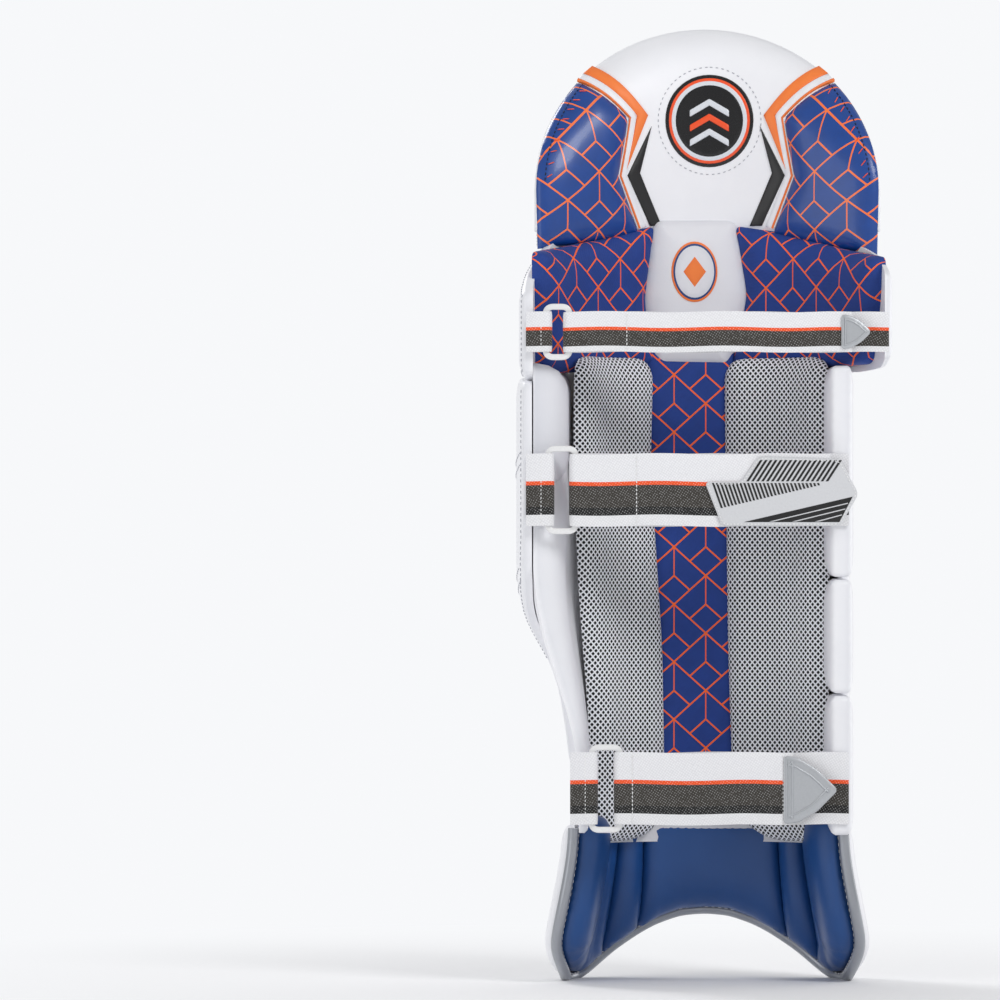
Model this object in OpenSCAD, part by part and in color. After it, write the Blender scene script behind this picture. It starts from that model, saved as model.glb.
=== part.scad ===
// Cricket leg pad with three strap fastenings. Millimetres, +Z up, front face towards -Y.
// The origin is on the line of the wearer's shin, level with the pad's lowest edge.

/* [Gutter] */
// Height of the pad from its lowest lobe to the top of the dome
pad_height = 720; // [712:2:730]
// Distance from the wearer's shin line back to the centre of the gutter's arc
gutter_y = 37; // [36:0.5:38]
// Radius of the front face at the crown of a channel
front_radius = 150; // [149:0.5:151]
// How far a channel's crown stands out from its seams
channel_bulge = 7; // [5:0.5:8]
// Depth of a front channel behind its seams
channel_depth = 13; // [12:0.5:13.5]

/* [Upper section] */
// Half width of the dome, which is a half circle
dome_radius = 122; // [120:0.5:123]
// Lower edge of the upper section
upper_low = 576; // [575.5:0.5:577]
// Angle taken by one upper channel about the gutter's centre
upper_step = 15; // [14.5:0.25:15.25]

/* [Knee] */
// Distance from the shin line back to the centre of the knee's arc
knee_y = 45; // [44.5:0.5:45]
// Outer radius of the three knee rolls
knee_radius = 172; // [170:0.5:173]
// Lower edge of the lowest knee roll
knee_low = 467; // [466.5:0.25:467.5]
// Half angle of the knee rolls
knee_span = 42; // [41:0.25:42.5]

/* [Shin] */
// Angle of the first shin seam, on the side away from the wing
shin_start = -34.5; // [-35:0.25:-34]
// Angle taken by one shin channel
shin_step = 13; // [12.8:0.1:13]
// Top of the instep panel on the front
instep_top = 130; // [126:1:134]
// Diameter of a cane rod
cane_d = 9; // [7:0.5:9.5]

/* [Foot] */
// Half width across the two lobes
bottom_half = 122; // [121:0.5:123]
// Radius of a lobe's lower corner
lobe_radius = 28; // [26:0.5:29]
// Height of the arch over the shoe
arch_top = 51; // [49:0.5:53]
// Width of the silver edging
edging = 6; // [5:0.5:7]

/* [Straps] */
// Thickness of the webbing
webbing = 1.6; // [1.4:0.1:1.7]
// Distance from the shin line back to the middle of the strap rings
strap_y = 50; // [49.9:0.1:50.2]
// Width of the knee strap
knee_strap_w = 30; // [28:1:31]
// Width of the calf and ankle straps
low_strap_w = 54; // [52:1:55]

/* [Hidden] */
$fn = 72;
gap = 0.4;
seam_radius = front_radius - channel_bulge;
inner_radius = seam_radius - channel_depth;
dome_z = pad_height - dome_radius;
rod_radius = inner_radius - 0.4 - cane_d / 2;
core_out = rod_radius - cane_d / 2 - 0.3;
core_in = core_out - 5.5;
liner_out = core_in - 0.3;
liner_in = liner_out - 2.2;
bolster_out = liner_in - 0.3;
bolster_in = bolster_out - 17.5;
shin_high = knee_low - gap;
back_low = 103;
knee_in = 132;
// Each strap: [height, width, inner bar x, outer bar x, base end x, flap end x, hook from, hook to, anchor end x]
knee_strap = [489, knee_strap_w, 104.7, 122.5, -134, -106, -100, -40, 137];
calf_strap = [371, low_strap_w, 100.1, 120.9, -104, -90, -88, -10, 137];
ankle_strap = [148, low_strap_w, 66.7, 88.3, -104, -62, -60, 0, 104];
fold_in = 3.3;
fold_out = fold_in + webbing;
bar = 4.2;
ring_t = 3;

// A wedge of the plan between two angles, counted from the front towards the wing
module wedge(a0, a1, r = 300) {
  polygon([[0, 0], [r * sin(a0), -r * cos(a0)], [r * sin(a1), -r * cos(a1)]]);
}

// An upright curved slab about a centre on the middle line
module band(centre_y, r_in, r_out, a0, a1, z0, z1) {
  translate([0, centre_y, z0])
    rotate([0, 0, a0 - 90])
      rotate_extrude(angle = a1 - a0)
        translate([r_in, 0])
          square([r_out - r_in, z1 - z0]);
}

// Plan of one quilted channel: radial sides, hollow back, crowned front
module channel_plan(a0, a1) {
  mid = (a0 + a1) / 2;
  half_chord = seam_radius * sin((a1 - a0) / 2);
  crown = (half_chord * half_chord + channel_bulge * channel_bulge) / (2 * channel_bulge);
  difference() {
    intersection() {
      union() {
        circle(r = seam_radius);
        translate([(front_radius - crown) * sin(mid), -(front_radius - crown) * cos(mid)])
          circle(r = crown);
      }
      wedge(a0 + 0.12, a1 - 0.12);
    }
    circle(r = inner_radius);
  }
}

module channel(a0, a1, z0, z1) {
  translate([0, gutter_y, z0])
    linear_extrude(height = z1 - z0)
      channel_plan(a0, a1);
}

// Keeps what lies inside an outline seen from the front
module seen_from_front() {
  rotate([90, 0, 0])
    linear_extrude(height = 500, center = true)
      children();
}

module dome_outline(inset) {
  translate([0, dome_z])
    circle(r = dome_radius - inset);
  translate([-dome_radius + inset, 400])
    square([2 * (dome_radius - inset), dome_z - 400]);
}

// The foot seen from the front: two lobes and the arch between them
module foot_outline(inset) {
  side = bottom_half - lobe_radius;
  arch_r = 95;
  difference() {
    union() {
      polygon([[-side, inset], [side, inset], [side, lobe_radius], [bottom_half - inset, lobe_radius],
        [107 - inset, 112], [107 - inset, 480], [-107 + inset, 480], [-107 + inset, 112],
        [-bottom_half + inset, lobe_radius], [-side, lobe_radius]]);
      for (s = [-1, 1])
        translate([s * side, lobe_radius])
          circle(r = lobe_radius - inset);
    }
    translate([0, arch_top - arch_r])
      circle(r = arch_r + inset);
  }
}

module above_foot() {
  intersection() {
    children();
    seen_from_front()
      foot_outline(edging + 0.3);
  }
}

// A slab with rounded long edges, drawn in plan between two points on one side
module side_slab(x, y0, y1, thick, z0, z1) {
  translate([x, 0, z0])
    linear_extrude(height = z1 - z0) {
      translate([-thick / 2, y0 + thick / 2])
        square([thick, y1 - y0 - thick]);
      translate([0, y0 + thick / 2])
        circle(d = thick);
      translate([0, y1 - thick / 2])
        circle(d = thick);
    }
}

// ---- upper section

module upper_front() {
  color("#F2F2F5")
    intersection() {
      union() {
        for (i = [-3 : 2])
          channel(i * upper_step, (i + 1) * upper_step, upper_low, pad_height);
        channel(-56, -3 * upper_step, upper_low, pad_height);
        channel(3 * upper_step, 56, upper_low, pad_height);
      }
      seen_from_front()
        dome_outline(4.4);
    }
}

module upper_core() {
  color("#E8E4D8")
    intersection() {
      band(gutter_y, 118, inner_radius - 0.4, -42, 42, upper_low, pad_height);
      seen_from_front()
        dome_outline(12);
    }
}

module upper_back_panel(a0, a1) {
  intersection() {
    band(gutter_y, 111, 117.6, a0, a1, upper_low + 4, pad_height);
    seen_from_front()
      dome_outline(5);
  }
}

module upper_back_centre() {
  color("#F2F2F5")
    upper_back_panel(-24, 24);
}

module upper_back_side(s) {
  intersection() {
    union() {
      band(gutter_y, 111, 117.6, s > 0 ? 24.3 : -50, s > 0 ? 50 : -24.3, upper_low + 4, pad_height);
      band(gutter_y, 112, inner_radius - 0.4, s > 0 ? 42.4 : -62, s > 0 ? 62 : -42.4, upper_low + 4, pad_height);
    }
    seen_from_front()
      dome_outline(5);
  }
}

module upper_back_left() {
  color("#1B4F9E")
    upper_back_side(1);
}

module upper_back_right() {
  color("#1B4F9E")
    upper_back_side(-1);
}

module top_edging() {
  color("#F2F2F5")
    intersection() {
      band(gutter_y, 132, 146, -54, 54, dome_z, pad_height);
      seen_from_front()
        difference() {
          circle_at_dome(dome_radius);
          circle_at_dome(dome_radius - 4);
        }
    }
}

module circle_at_dome(r) {
  translate([0, dome_z])
    circle(r = r);
}

// ---- knee

module knee_roll(z0, z1) {
  r = 24;
  mid = (z0 + z1) / 2;
  translate([0, knee_y, 0])
    rotate([0, 0, -knee_span - 90])
      rotate_extrude(angle = 2 * knee_span)
        union() {
          translate([knee_in + 0.4, z0 + 0.2])
            square([knee_radius - 24 - knee_in, z1 - z0 - 0.4]);
          intersection() {
            translate([knee_radius - r, mid])
              circle(r = r);
            translate([knee_radius - r - 1, z0 + 0.2])
              square([r + 2, z1 - z0 - 0.4]);
          }
        }
}

module knee_roll_upper() {
  color("#F2F2F5")
    knee_roll(knee_low + 71, upper_low - gap);
}

module knee_roll_middle() {
  color("#F2F2F5")
    knee_roll(knee_low + 40, knee_low + 71);
}

module knee_roll_lower() {
  color("#F2F2F5")
    knee_roll(knee_low, knee_low + 40);
}

module knee_wing() {
  color("#F2F2F5")
    band(knee_y, knee_in, knee_in + 12, knee_span + 0.4, 90, 453, 552);
}

module knee_side() {
  color("#F2F2F5")
    band(knee_y, knee_in, knee_in + 5, -90, -knee_span - 0.4, knee_low, 560);
}

module knee_bolster(a0, a1) {
  band(knee_y, 108, knee_in - 0.4, a0, a1, 461, 571);
}

module knee_bolster_left() {
  color("#1F4090")
    knee_bolster(18.4, 86);
}

module knee_bolster_right() {
  color("#1F4090")
    knee_bolster(-86, -18.4);
}

module knee_cup() {
  color("#F2F2F5")
    band(knee_y, 104, knee_in - 0.4, -18, 18, 463, 574);
}

// ---- shin

module shin_channel(i) {
  middle = i > 1 && i < 5;
  color("#F2F2F5")
    above_foot()
      channel(shin_start + (i - 1) * shin_step, shin_start + i * shin_step, middle ? instep_top + gap : 0,
        shin_high);
}

module shin_channel_1() {
  shin_channel(1);
}

module shin_channel_2() {
  shin_channel(2);
}

module shin_channel_3() {
  shin_channel(3);
}

module shin_channel_4() {
  shin_channel(4);
}

module shin_channel_5() {
  shin_channel(5);
}

module shin_channel_6() {
  shin_channel(6);
}

module shin_side_channel() {
  color("#F2F2F5")
    channel(-48, shin_start, 112.4, shin_high);
}

module cane_rods() {
  color("#D8B878")
    for (i = [0 : 11])
      rotate_about_gutter(shin_start + shin_step / 4 + i * shin_step / 2)
        translate([0, -rod_radius, 136])
          cylinder(d = cane_d, h = 322);
}

module rotate_about_gutter(a) {
  translate([0, gutter_y, 0])
    rotate([0, 0, a])
      children();
}

module shin_core() {
  color("#E8E4D8")
    band(gutter_y, core_in, core_out, -48, 48, back_low + gap, 460);
}

module back_liner() {
  color("#F2F2F5")
    band(gutter_y, liner_in, liner_out, -50, 50, back_low + gap, 460);
}

// The wing seen from its side: full depth at the calf, drawn in towards the shin below
module wing_outline() {
  polygon([[-80, 452.6], [44, 452.6], [44, 330], [22, 290], [-38, 240], [-53, 214], [-58, 186], [-66, 166],
    [-80, 166]]);
}

module wing() {
  color("#F2F2F5")
    intersection() {
      translate([72, 5, 0])
        rotate([0, 0, -64])
          rotate_extrude(angle = 97)
            translate([58, 0])
              square([14, 480]);
      rotate([90, 0, 90])
        linear_extrude(height = 400, center = true)
          wing_outline();
    }
}

module side_roll(z0, z1) {
  color("#F2F2F5")
    side_slab(-99, -40, 44.8, 14, z0, z1);
}

module side_roll_upper() {
  side_roll(306, 460);
}

module side_roll_middle() {
  side_roll(219, 304);
}

module side_roll_lower() {
  side_roll(113, 217);
}

module ankle_roll() {
  color("#F2F2F5")
    side_slab(99, -40, 44.8, 14, 113, 300);
}

module mesh_bolster(a0, a1) {
  color("#9A9DA6")
    band(gutter_y, bolster_in, bolster_out, a0, a1, back_low, 460);
}

module mesh_bolster_left() {
  mesh_bolster(18.4, 52);
}

module mesh_bolster_right() {
  mesh_bolster(-52, -12.4);
}

module centre_strip() {
  color("#1F4090")
    band(gutter_y, bolster_in + 6, bolster_out, -12, 18, back_low, 460);
}

// ---- foot

module instep_panel() {
  color("#F2F2F5")
    intersection() {
      above_foot()
        band(gutter_y, inner_radius, front_radius + 2, shin_start + shin_step + 0.2,
          shin_start + 4 * shin_step - 0.2, 0, instep_top + 1);
      seen_from_front()
        translate([0, instep_top - 260])
          circle(r = 260);
    }
}

module instep_lobe(s) {
  a = s > 0 ? shin_start + 6 * shin_step + 0.3 : -shin_start + 0.3;
  color("#F2F2F5")
    above_foot()
      linear_extrude(height = 112)
        scale_side(s)
          polygon([[seam_radius * sin(a), gutter_y - seam_radius * cos(a)], [112, -62], [122, -46], [122, 14],
            [102, 14], [102, -51], [inner_radius * sin(a), gutter_y - inner_radius * cos(a)]]);
}

module scale_side(s) {
  if (s > 0)
    children();
  else
    mirror([1, 0])
      children();
}

module instep_lobe_left() {
  instep_lobe(1);
}

module instep_lobe_right() {
  instep_lobe(-1);
}

module instep_back_centre() {
  color("#1B3F78")
    above_foot()
      band(gutter_y, 112, inner_radius - 0.4, -31, 26, 0, back_low - gap);
}

// Points along an arc about the gutter's centre
function arc_points(r, a0, a1, n) =
  [for (i = [0 : n]) let (a = a0 + (a1 - a0) * i / n) [r * sin(a), gutter_y - r * cos(a)]];

module instep_back_side(s) {
  a0 = s > 0 ? 26.3 : 31.3;
  color("#1B3F78")
    above_foot()
      linear_extrude(height = back_low - gap)
        scale_side(s)
          polygon(concat(arc_points(inner_radius - 0.5, a0, 46, 8), [[101.2, -48], [101.2, 16], [89.8, 16],
            [89.8, -42]], arc_points(112, 46, a0, 8)));
}

module instep_back_left() {
  instep_back_side(1);
}

module instep_back_right() {
  instep_back_side(-1);
}

// The silver edging follows the whole lower edge, front layer to back layer
module foot_edging() {
  color("#A9ABB0")
    intersection() {
      seen_from_front()
        difference() {
          foot_outline(0);
          foot_outline(edging);
        }
      linear_extrude(height = 110)
        polygon(concat(arc_points(front_radius - 4, -44, 44, 24), [[110, -62], [123, -46], [123, 14], [97, 14],
          [97, -46]], arc_points(113, 44, -44, 24), [[-97, -46], [-97, 14], [-123, 14], [-123, -46],
          [-110, -62]]));
    }
}

// ---- badges

module instep_badge() {
  color("#202124")
    intersection() {
      band(gutter_y, front_radius + 2.1, front_radius + 4, -20, 16, 60, 125);
      seen_from_front()
        translate([-5, 93])
          circle(d = 46);
    }
}

module knee_badge() {
  color("#202124")
    rotate_about_knee(66)
      translate([0, -knee_in - 13, 508])
        rotate([90, 0, 0])
          linear_extrude(height = 1.6, center = true)
            circle(d = 42);
}

module rotate_about_knee(a) {
  translate([0, knee_y, 0])
    rotate([0, 0, a])
      children();
}

module upper_badge() {
  color("#202124")
    intersection() {
      band(gutter_y, 109, 110.8, -20, 20, 600, 700);
      seen_from_front()
        translate([-2, 652])
          circle(d = 66);
    }
}

// ---- straps

// Webbing folded round a ring's outer bar, its two ends sewn together at the pad's edge
module strap_anchor(s) {
  z0 = s[0] - s[1] / 2;
  translate([s[3], strap_y, z0])
    linear_extrude(height = s[1]) {
      difference() {
        circle(r = fold_out);
        circle(r = fold_in);
        translate([0, -10])
          square([20, 20]);
      }
      for (y = [-fold_out, fold_in])
        translate([0, y])
          square([s[8] - s[3], webbing]);
      translate([s[8] - s[3] - 4, -fold_out])
        square([4, 2 * fold_out]);
    }
}

// Flat ring with an outer bar for the anchor and an inner bar for the strap
module strap_ring(s) {
  long = s[3] - s[2] + bar;
  tall = s[1] + 8;
  color("#F4F4F4")
    translate([s[2] - bar / 2, strap_y + ring_t / 2, s[0] - tall / 2])
      rotate([90, 0, 0])
        linear_extrude(height = ring_t)
          difference() {
            rounded_rectangle(long, tall, 5);
            translate([bar, 3.4])
              square([long - 2 * bar, tall - 6.8]);
          }
}

module rounded_rectangle(w, h, r) {
  translate([r, 0])
    square([w - 2 * r, h]);
  translate([0, r])
    square([w, h - 2 * r]);
  for (x = [r, w - r])
    for (y = [r, h - r])
      translate([x, y])
        circle(r = r);
}

module strap_base(s) {
  color("#F2F2F5")
    translate([s[4], strap_y - fold_out, s[0] - s[1] / 2])
      cube([s[2] - 6.5 - s[4], webbing, s[1]]);
}

module strap_hook(s) {
  color("#303033")
    translate([s[6], strap_y - fold_in, s[0] - s[1] / 2 + 2])
      cube([s[7] - s[6], 2.8, s[1] - 4]);
}

// The free end, folded back over the base: a quarter turn at the bar, the strap and its loop pile
module strap_flap(s) {
  z0 = s[0] - s[1] / 2;
  color("#38342F") {
    translate([s[2], strap_y, z0])
      linear_extrude(height = s[1])
        intersection() {
          difference() {
            circle(r = fold_out);
            circle(r = fold_in);
          }
          square(20);
        }
    translate([s[5], strap_y + fold_in, z0])
      cube([s[2] - s[5] + 0.01, webbing, s[1]]);
    translate([s[6] + 2, strap_y, z0 + 2])
      cube([s[7] - s[6], fold_in + 0.01, s[1] - 4]);
  }
}

// Moulded end grip: a rounded triangle pointing away from the ring
module strap_tab(s, long, tall) {
  color("#B9BCC0")
    translate([s[5] + 6, strap_y + fold_out + 2.8, s[0]])
      rotate([90, 0, 0])
        linear_extrude(height = 2.8) {
          polygon([[0, -tall / 2], [0, tall / 2], [6 - long, tall / 2 - 5], [-long, 4], [-long, -4],
            [6 - long, 5 - tall / 2]]);
        }
}

module knee_strap_anchor() {
  color("#F2F2F5")
    strap_anchor(knee_strap);
}

module knee_strap_ring() {
  strap_ring(knee_strap);
}

module knee_strap_base() {
  strap_base(knee_strap);
}

module knee_strap_hook() {
  strap_hook(knee_strap);
}

module knee_strap_flap() {
  strap_flap(knee_strap);
}

module knee_strap_tab() {
  strap_tab(knee_strap, 21, 27);
}

module calf_strap_anchor() {
  color("#F2F2F5")
    strap_anchor(calf_strap);
}

module calf_strap_ring() {
  strap_ring(calf_strap);
}

module calf_strap_base() {
  strap_base(calf_strap);
}

module calf_strap_hook() {
  strap_hook(calf_strap);
}

module calf_strap_flap() {
  strap_flap(calf_strap);
}

// Large seven-cornered grip patch on the end of the calf strap
module calf_strap_patch() {
  color("#D9DADD")
    translate([0, strap_y + fold_out + 2.4, calf_strap[0]])
      rotate([90, 0, 0])
        linear_extrude(height = 2.4)
          polygon([[4, 6], [-23, 6], [-36, 25], [-97, 23], [-111, -3], [-97, -27], [-9, -27]]);
}

module ankle_strap_anchor() {
  color("#F2F2F5")
    strap_anchor(ankle_strap);
}

module ankle_strap_ring() {
  strap_ring(ankle_strap);
}

module ankle_strap_base() {
  strap_base(ankle_strap);
}

module ankle_strap_hook() {
  strap_hook(ankle_strap);
}

module ankle_strap_flap() {
  strap_flap(ankle_strap);
}

module ankle_strap_tab() {
  strap_tab(ankle_strap, 39, 50);
}

// ---- each node is drawn once, on its own or with the rest

upper_front();
upper_core();
upper_back_centre();
upper_back_left();
upper_back_right();
top_edging();
knee_roll_upper();
knee_roll_middle();
knee_roll_lower();
knee_wing();
knee_side();
knee_cup();
knee_bolster_left();
knee_bolster_right();
shin_channel_1();
shin_channel_2();
shin_channel_3();
shin_channel_4();
shin_channel_5();
shin_channel_6();
shin_side_channel();
cane_rods();
shin_core();
back_liner();
wing();
side_roll_upper();
side_roll_middle();
side_roll_lower();
ankle_roll();
mesh_bolster_left();
mesh_bolster_right();
centre_strip();
instep_panel();
instep_lobe_left();
instep_lobe_right();
instep_back_centre();
instep_back_left();
instep_back_right();
foot_edging();
instep_badge();
knee_badge();
upper_badge();
knee_strap_anchor();
knee_strap_ring();
knee_strap_base();
knee_strap_hook();
knee_strap_flap();
knee_strap_tab();
calf_strap_anchor();
calf_strap_ring();
calf_strap_base();
calf_strap_hook();
calf_strap_flap();
calf_strap_patch();
ankle_strap_anchor();
ankle_strap_ring();
ankle_strap_base();
ankle_strap_hook();
ankle_strap_flap();
ankle_strap_tab();
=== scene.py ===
"""Cricket leg pad: the visible model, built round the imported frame, in metres."""

from __future__ import annotations

import logging
import math
from collections.abc import Callable, Iterator, Sequence
from dataclasses import dataclass, field
from enum import Enum

import bpy
import numpy as np
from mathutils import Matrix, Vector
from mathutils.geometry import delaunay_2d_cdt

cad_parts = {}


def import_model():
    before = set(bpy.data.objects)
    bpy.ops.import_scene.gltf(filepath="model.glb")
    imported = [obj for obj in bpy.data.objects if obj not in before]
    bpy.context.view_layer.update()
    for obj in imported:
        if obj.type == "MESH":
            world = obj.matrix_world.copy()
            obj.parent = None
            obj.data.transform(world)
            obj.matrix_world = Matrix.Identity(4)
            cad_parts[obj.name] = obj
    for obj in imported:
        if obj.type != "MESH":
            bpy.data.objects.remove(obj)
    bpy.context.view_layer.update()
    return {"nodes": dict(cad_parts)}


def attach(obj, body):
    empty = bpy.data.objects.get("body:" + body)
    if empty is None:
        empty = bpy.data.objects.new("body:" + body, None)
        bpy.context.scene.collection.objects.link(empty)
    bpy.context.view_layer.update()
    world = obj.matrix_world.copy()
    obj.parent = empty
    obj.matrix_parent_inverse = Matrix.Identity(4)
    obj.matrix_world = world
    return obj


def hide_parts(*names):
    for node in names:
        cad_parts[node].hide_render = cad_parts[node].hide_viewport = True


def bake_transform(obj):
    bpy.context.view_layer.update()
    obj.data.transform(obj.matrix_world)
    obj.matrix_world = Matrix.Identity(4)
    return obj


LOG = logging.getLogger("leg_pad")
MM = 0.001
GUTTER_Y = 37 * MM
KNEE_Y = 45 * MM
SEAM_RADIUS = 143 * MM
DOME_RADIUS = 122 * MM
# Height of the dome's centre, in millimetres.
DOME_MID = 598.0
# How much wider than high the dome is.
DOME_WIDE = 1.035
STRAP_Y = 50 * MM
# Faces that meet at more than this keep a sharp edge.
SHARP = math.radians(64)
Pairs = Sequence[tuple[float, float]]
Row = tuple[np.ndarray, np.ndarray]
Inputs = dict[str | int, object]


def linear(code: str) -> tuple[float, float, float, float]:
    """Turns an sRGB hex colour into the linear values that a shader takes.

    Args:
        code: six hex digits, with or without a leading hash.

    Returns:
        Linear red, green and blue, and an alpha of 1.
    """
    digits = code.lstrip("#")
    raw = [int(digits[i : i + 2], 16) / 255 for i in (0, 2, 4)]
    red, green, blue = (c / 12.92 if c <= 0.04045 else ((c + 0.055) / 1.055) ** 2.4 for c in raw)
    return red, green, blue, 1.0


def add_node(tree: bpy.types.NodeTree, kind: str, settings: dict | None = None,
        links: Inputs | None = None) -> bpy.types.Node:
    """Adds a node with its settings and links.

    Args:
        tree: the node tree to add to.
        kind: the node's type name after ShaderNode.
        settings: attribute names and the values they take.
        links: input names or indexes, each with a socket to join or a value to set.

    Returns:
        The new node.
    """
    node = tree.nodes.new(f"ShaderNode{kind}")
    for key, value in (settings or {}).items():
        setattr(node, key, value)
    for key, value in (links or {}).items():
        if isinstance(value, bpy.types.NodeSocket):
            tree.links.new(value, node.inputs[key])
        else:
            node.inputs[key].default_value = value
    return node


def smooth(t: np.ndarray | float, low: float, high: float) -> np.ndarray:
    """Rises smoothly from 0 at low to 1 at high."""
    x = np.clip((np.asarray(t, float) - low) / (high - low), 0, 1)
    return x * x * (3 - 2 * x)


# ---- finishes


class Finish:
    """A surface finish that becomes one material, made once and shared."""

    name: str

    def shade(self, tree: bpy.types.NodeTree) -> Inputs:
        """Gives the shader's inputs; each finish has its own way."""
        raise NotImplementedError

    def cover(self, tree: bpy.types.NodeTree, shader: bpy.types.NodeSocket) -> bpy.types.NodeSocket:
        """Gives what the surface shows, which is the plain shader unless a finish says otherwise."""
        return shader

    def material(self) -> bpy.types.Material:
        """Builds the material, or finds it if another piece has it already.

        Returns:
            The material.
        """
        found = bpy.data.materials.get(self.name)
        if found:
            return found
        made = bpy.data.materials.new(self.name)
        made.use_nodes = True
        tree = made.node_tree
        tree.nodes.clear()
        shader = add_node(tree, "BsdfPrincipled", links=self.shade(tree))
        add_node(tree, "OutputMaterial", links={"Surface": self.cover(tree, shader.outputs["BSDF"])})
        made.diffuse_color = (0.8, 0.8, 0.8, 1)
        return made


@dataclass(frozen=True)
class PuLeather(Finish):
    """PU-coated leathercloth, embossed: even colour, soft sheen and fine pebble that breaks up highlights."""

    name: str
    colour: str
    # The darker colour that painted crease shade and random tone lean towards.
    shade_colour: str
    roughness: float = 0.42
    coat: float = 0.0
    metallic: float = 0.0
    # Real pebble is about 0.8 mm across; drawn coarser so that it shows.
    pebble: float = 2.2 * MM
    pebble_depth: float = 0.10 * MM
    # Soft waves of the foam under the skin, about 25 mm apart.
    wave_depth: float = 0.8 * MM

    def shade(self, tree: bpy.types.NodeTree) -> Inputs:
        """Sets colour, sheen and pebble bump.

        Args:
            tree: the material's tree.

        Returns:
            The shader's inputs.
        """
        place = add_node(tree, "TexCoord").outputs["Object"]
        cloud = add_node(tree, "TexNoise", links={"Vector": place, "Scale": 40.0, "Detail": 4.0})
        # Painted shade: the colour darkens along seams and edges, where creases fall into shade; the noise
        # adds random tone on top.
        crease = add_node(tree, "Attribute", {"attribute_name": "crease"})
        crease_shade = add_node(tree, "Math", {"operation": "MULTIPLY_ADD"},
            {0: crease.outputs["Fac"], 1: 0.3, 2: 0.0})
        worn = add_node(tree, "Math", {"operation": "MULTIPLY"}, {0: cloud.outputs["Fac"], 1: 0.22})
        amount = add_node(tree, "Math", {"operation": "ADD", "use_clamp": True},
            {0: crease_shade.outputs[0], 1: worn.outputs[0]})
        colour = add_node(tree, "Mix", {"data_type": "RGBA"},
            {0: amount.outputs[0], 6: linear(self.colour), 7: linear(self.shade_colour)})
        pebble = add_node(tree, "TexVoronoi", {"feature": "DISTANCE_TO_EDGE"},
            {"Vector": place, "Scale": 1 / self.pebble})
        wave = add_node(tree, "TexNoise", links={"Vector": place, "Scale": 40.0, "Detail": 2.0})
        soft = add_node(tree, "Bump", links={"Strength": 0.35, "Distance": self.wave_depth,
            "Height": wave.outputs["Fac"]})
        fine = add_node(tree, "Bump", links={"Strength": 0.5, "Distance": self.pebble_depth,
            "Height": pebble.outputs["Distance"], "Normal": soft.outputs["Normal"]})
        rough = add_node(tree, "MapRange", links={"Value": cloud.outputs["Fac"],
            "To Min": self.roughness - 0.06, "To Max": self.roughness + 0.08})
        return {"Base Color": colour.outputs[2], "Roughness": rough.outputs["Result"],
            "Normal": fine.outputs["Normal"], "IOR": 1.5, "Metallic": self.metallic,
            "Coat Weight": self.coat, "Coat Roughness": 0.12}


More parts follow.
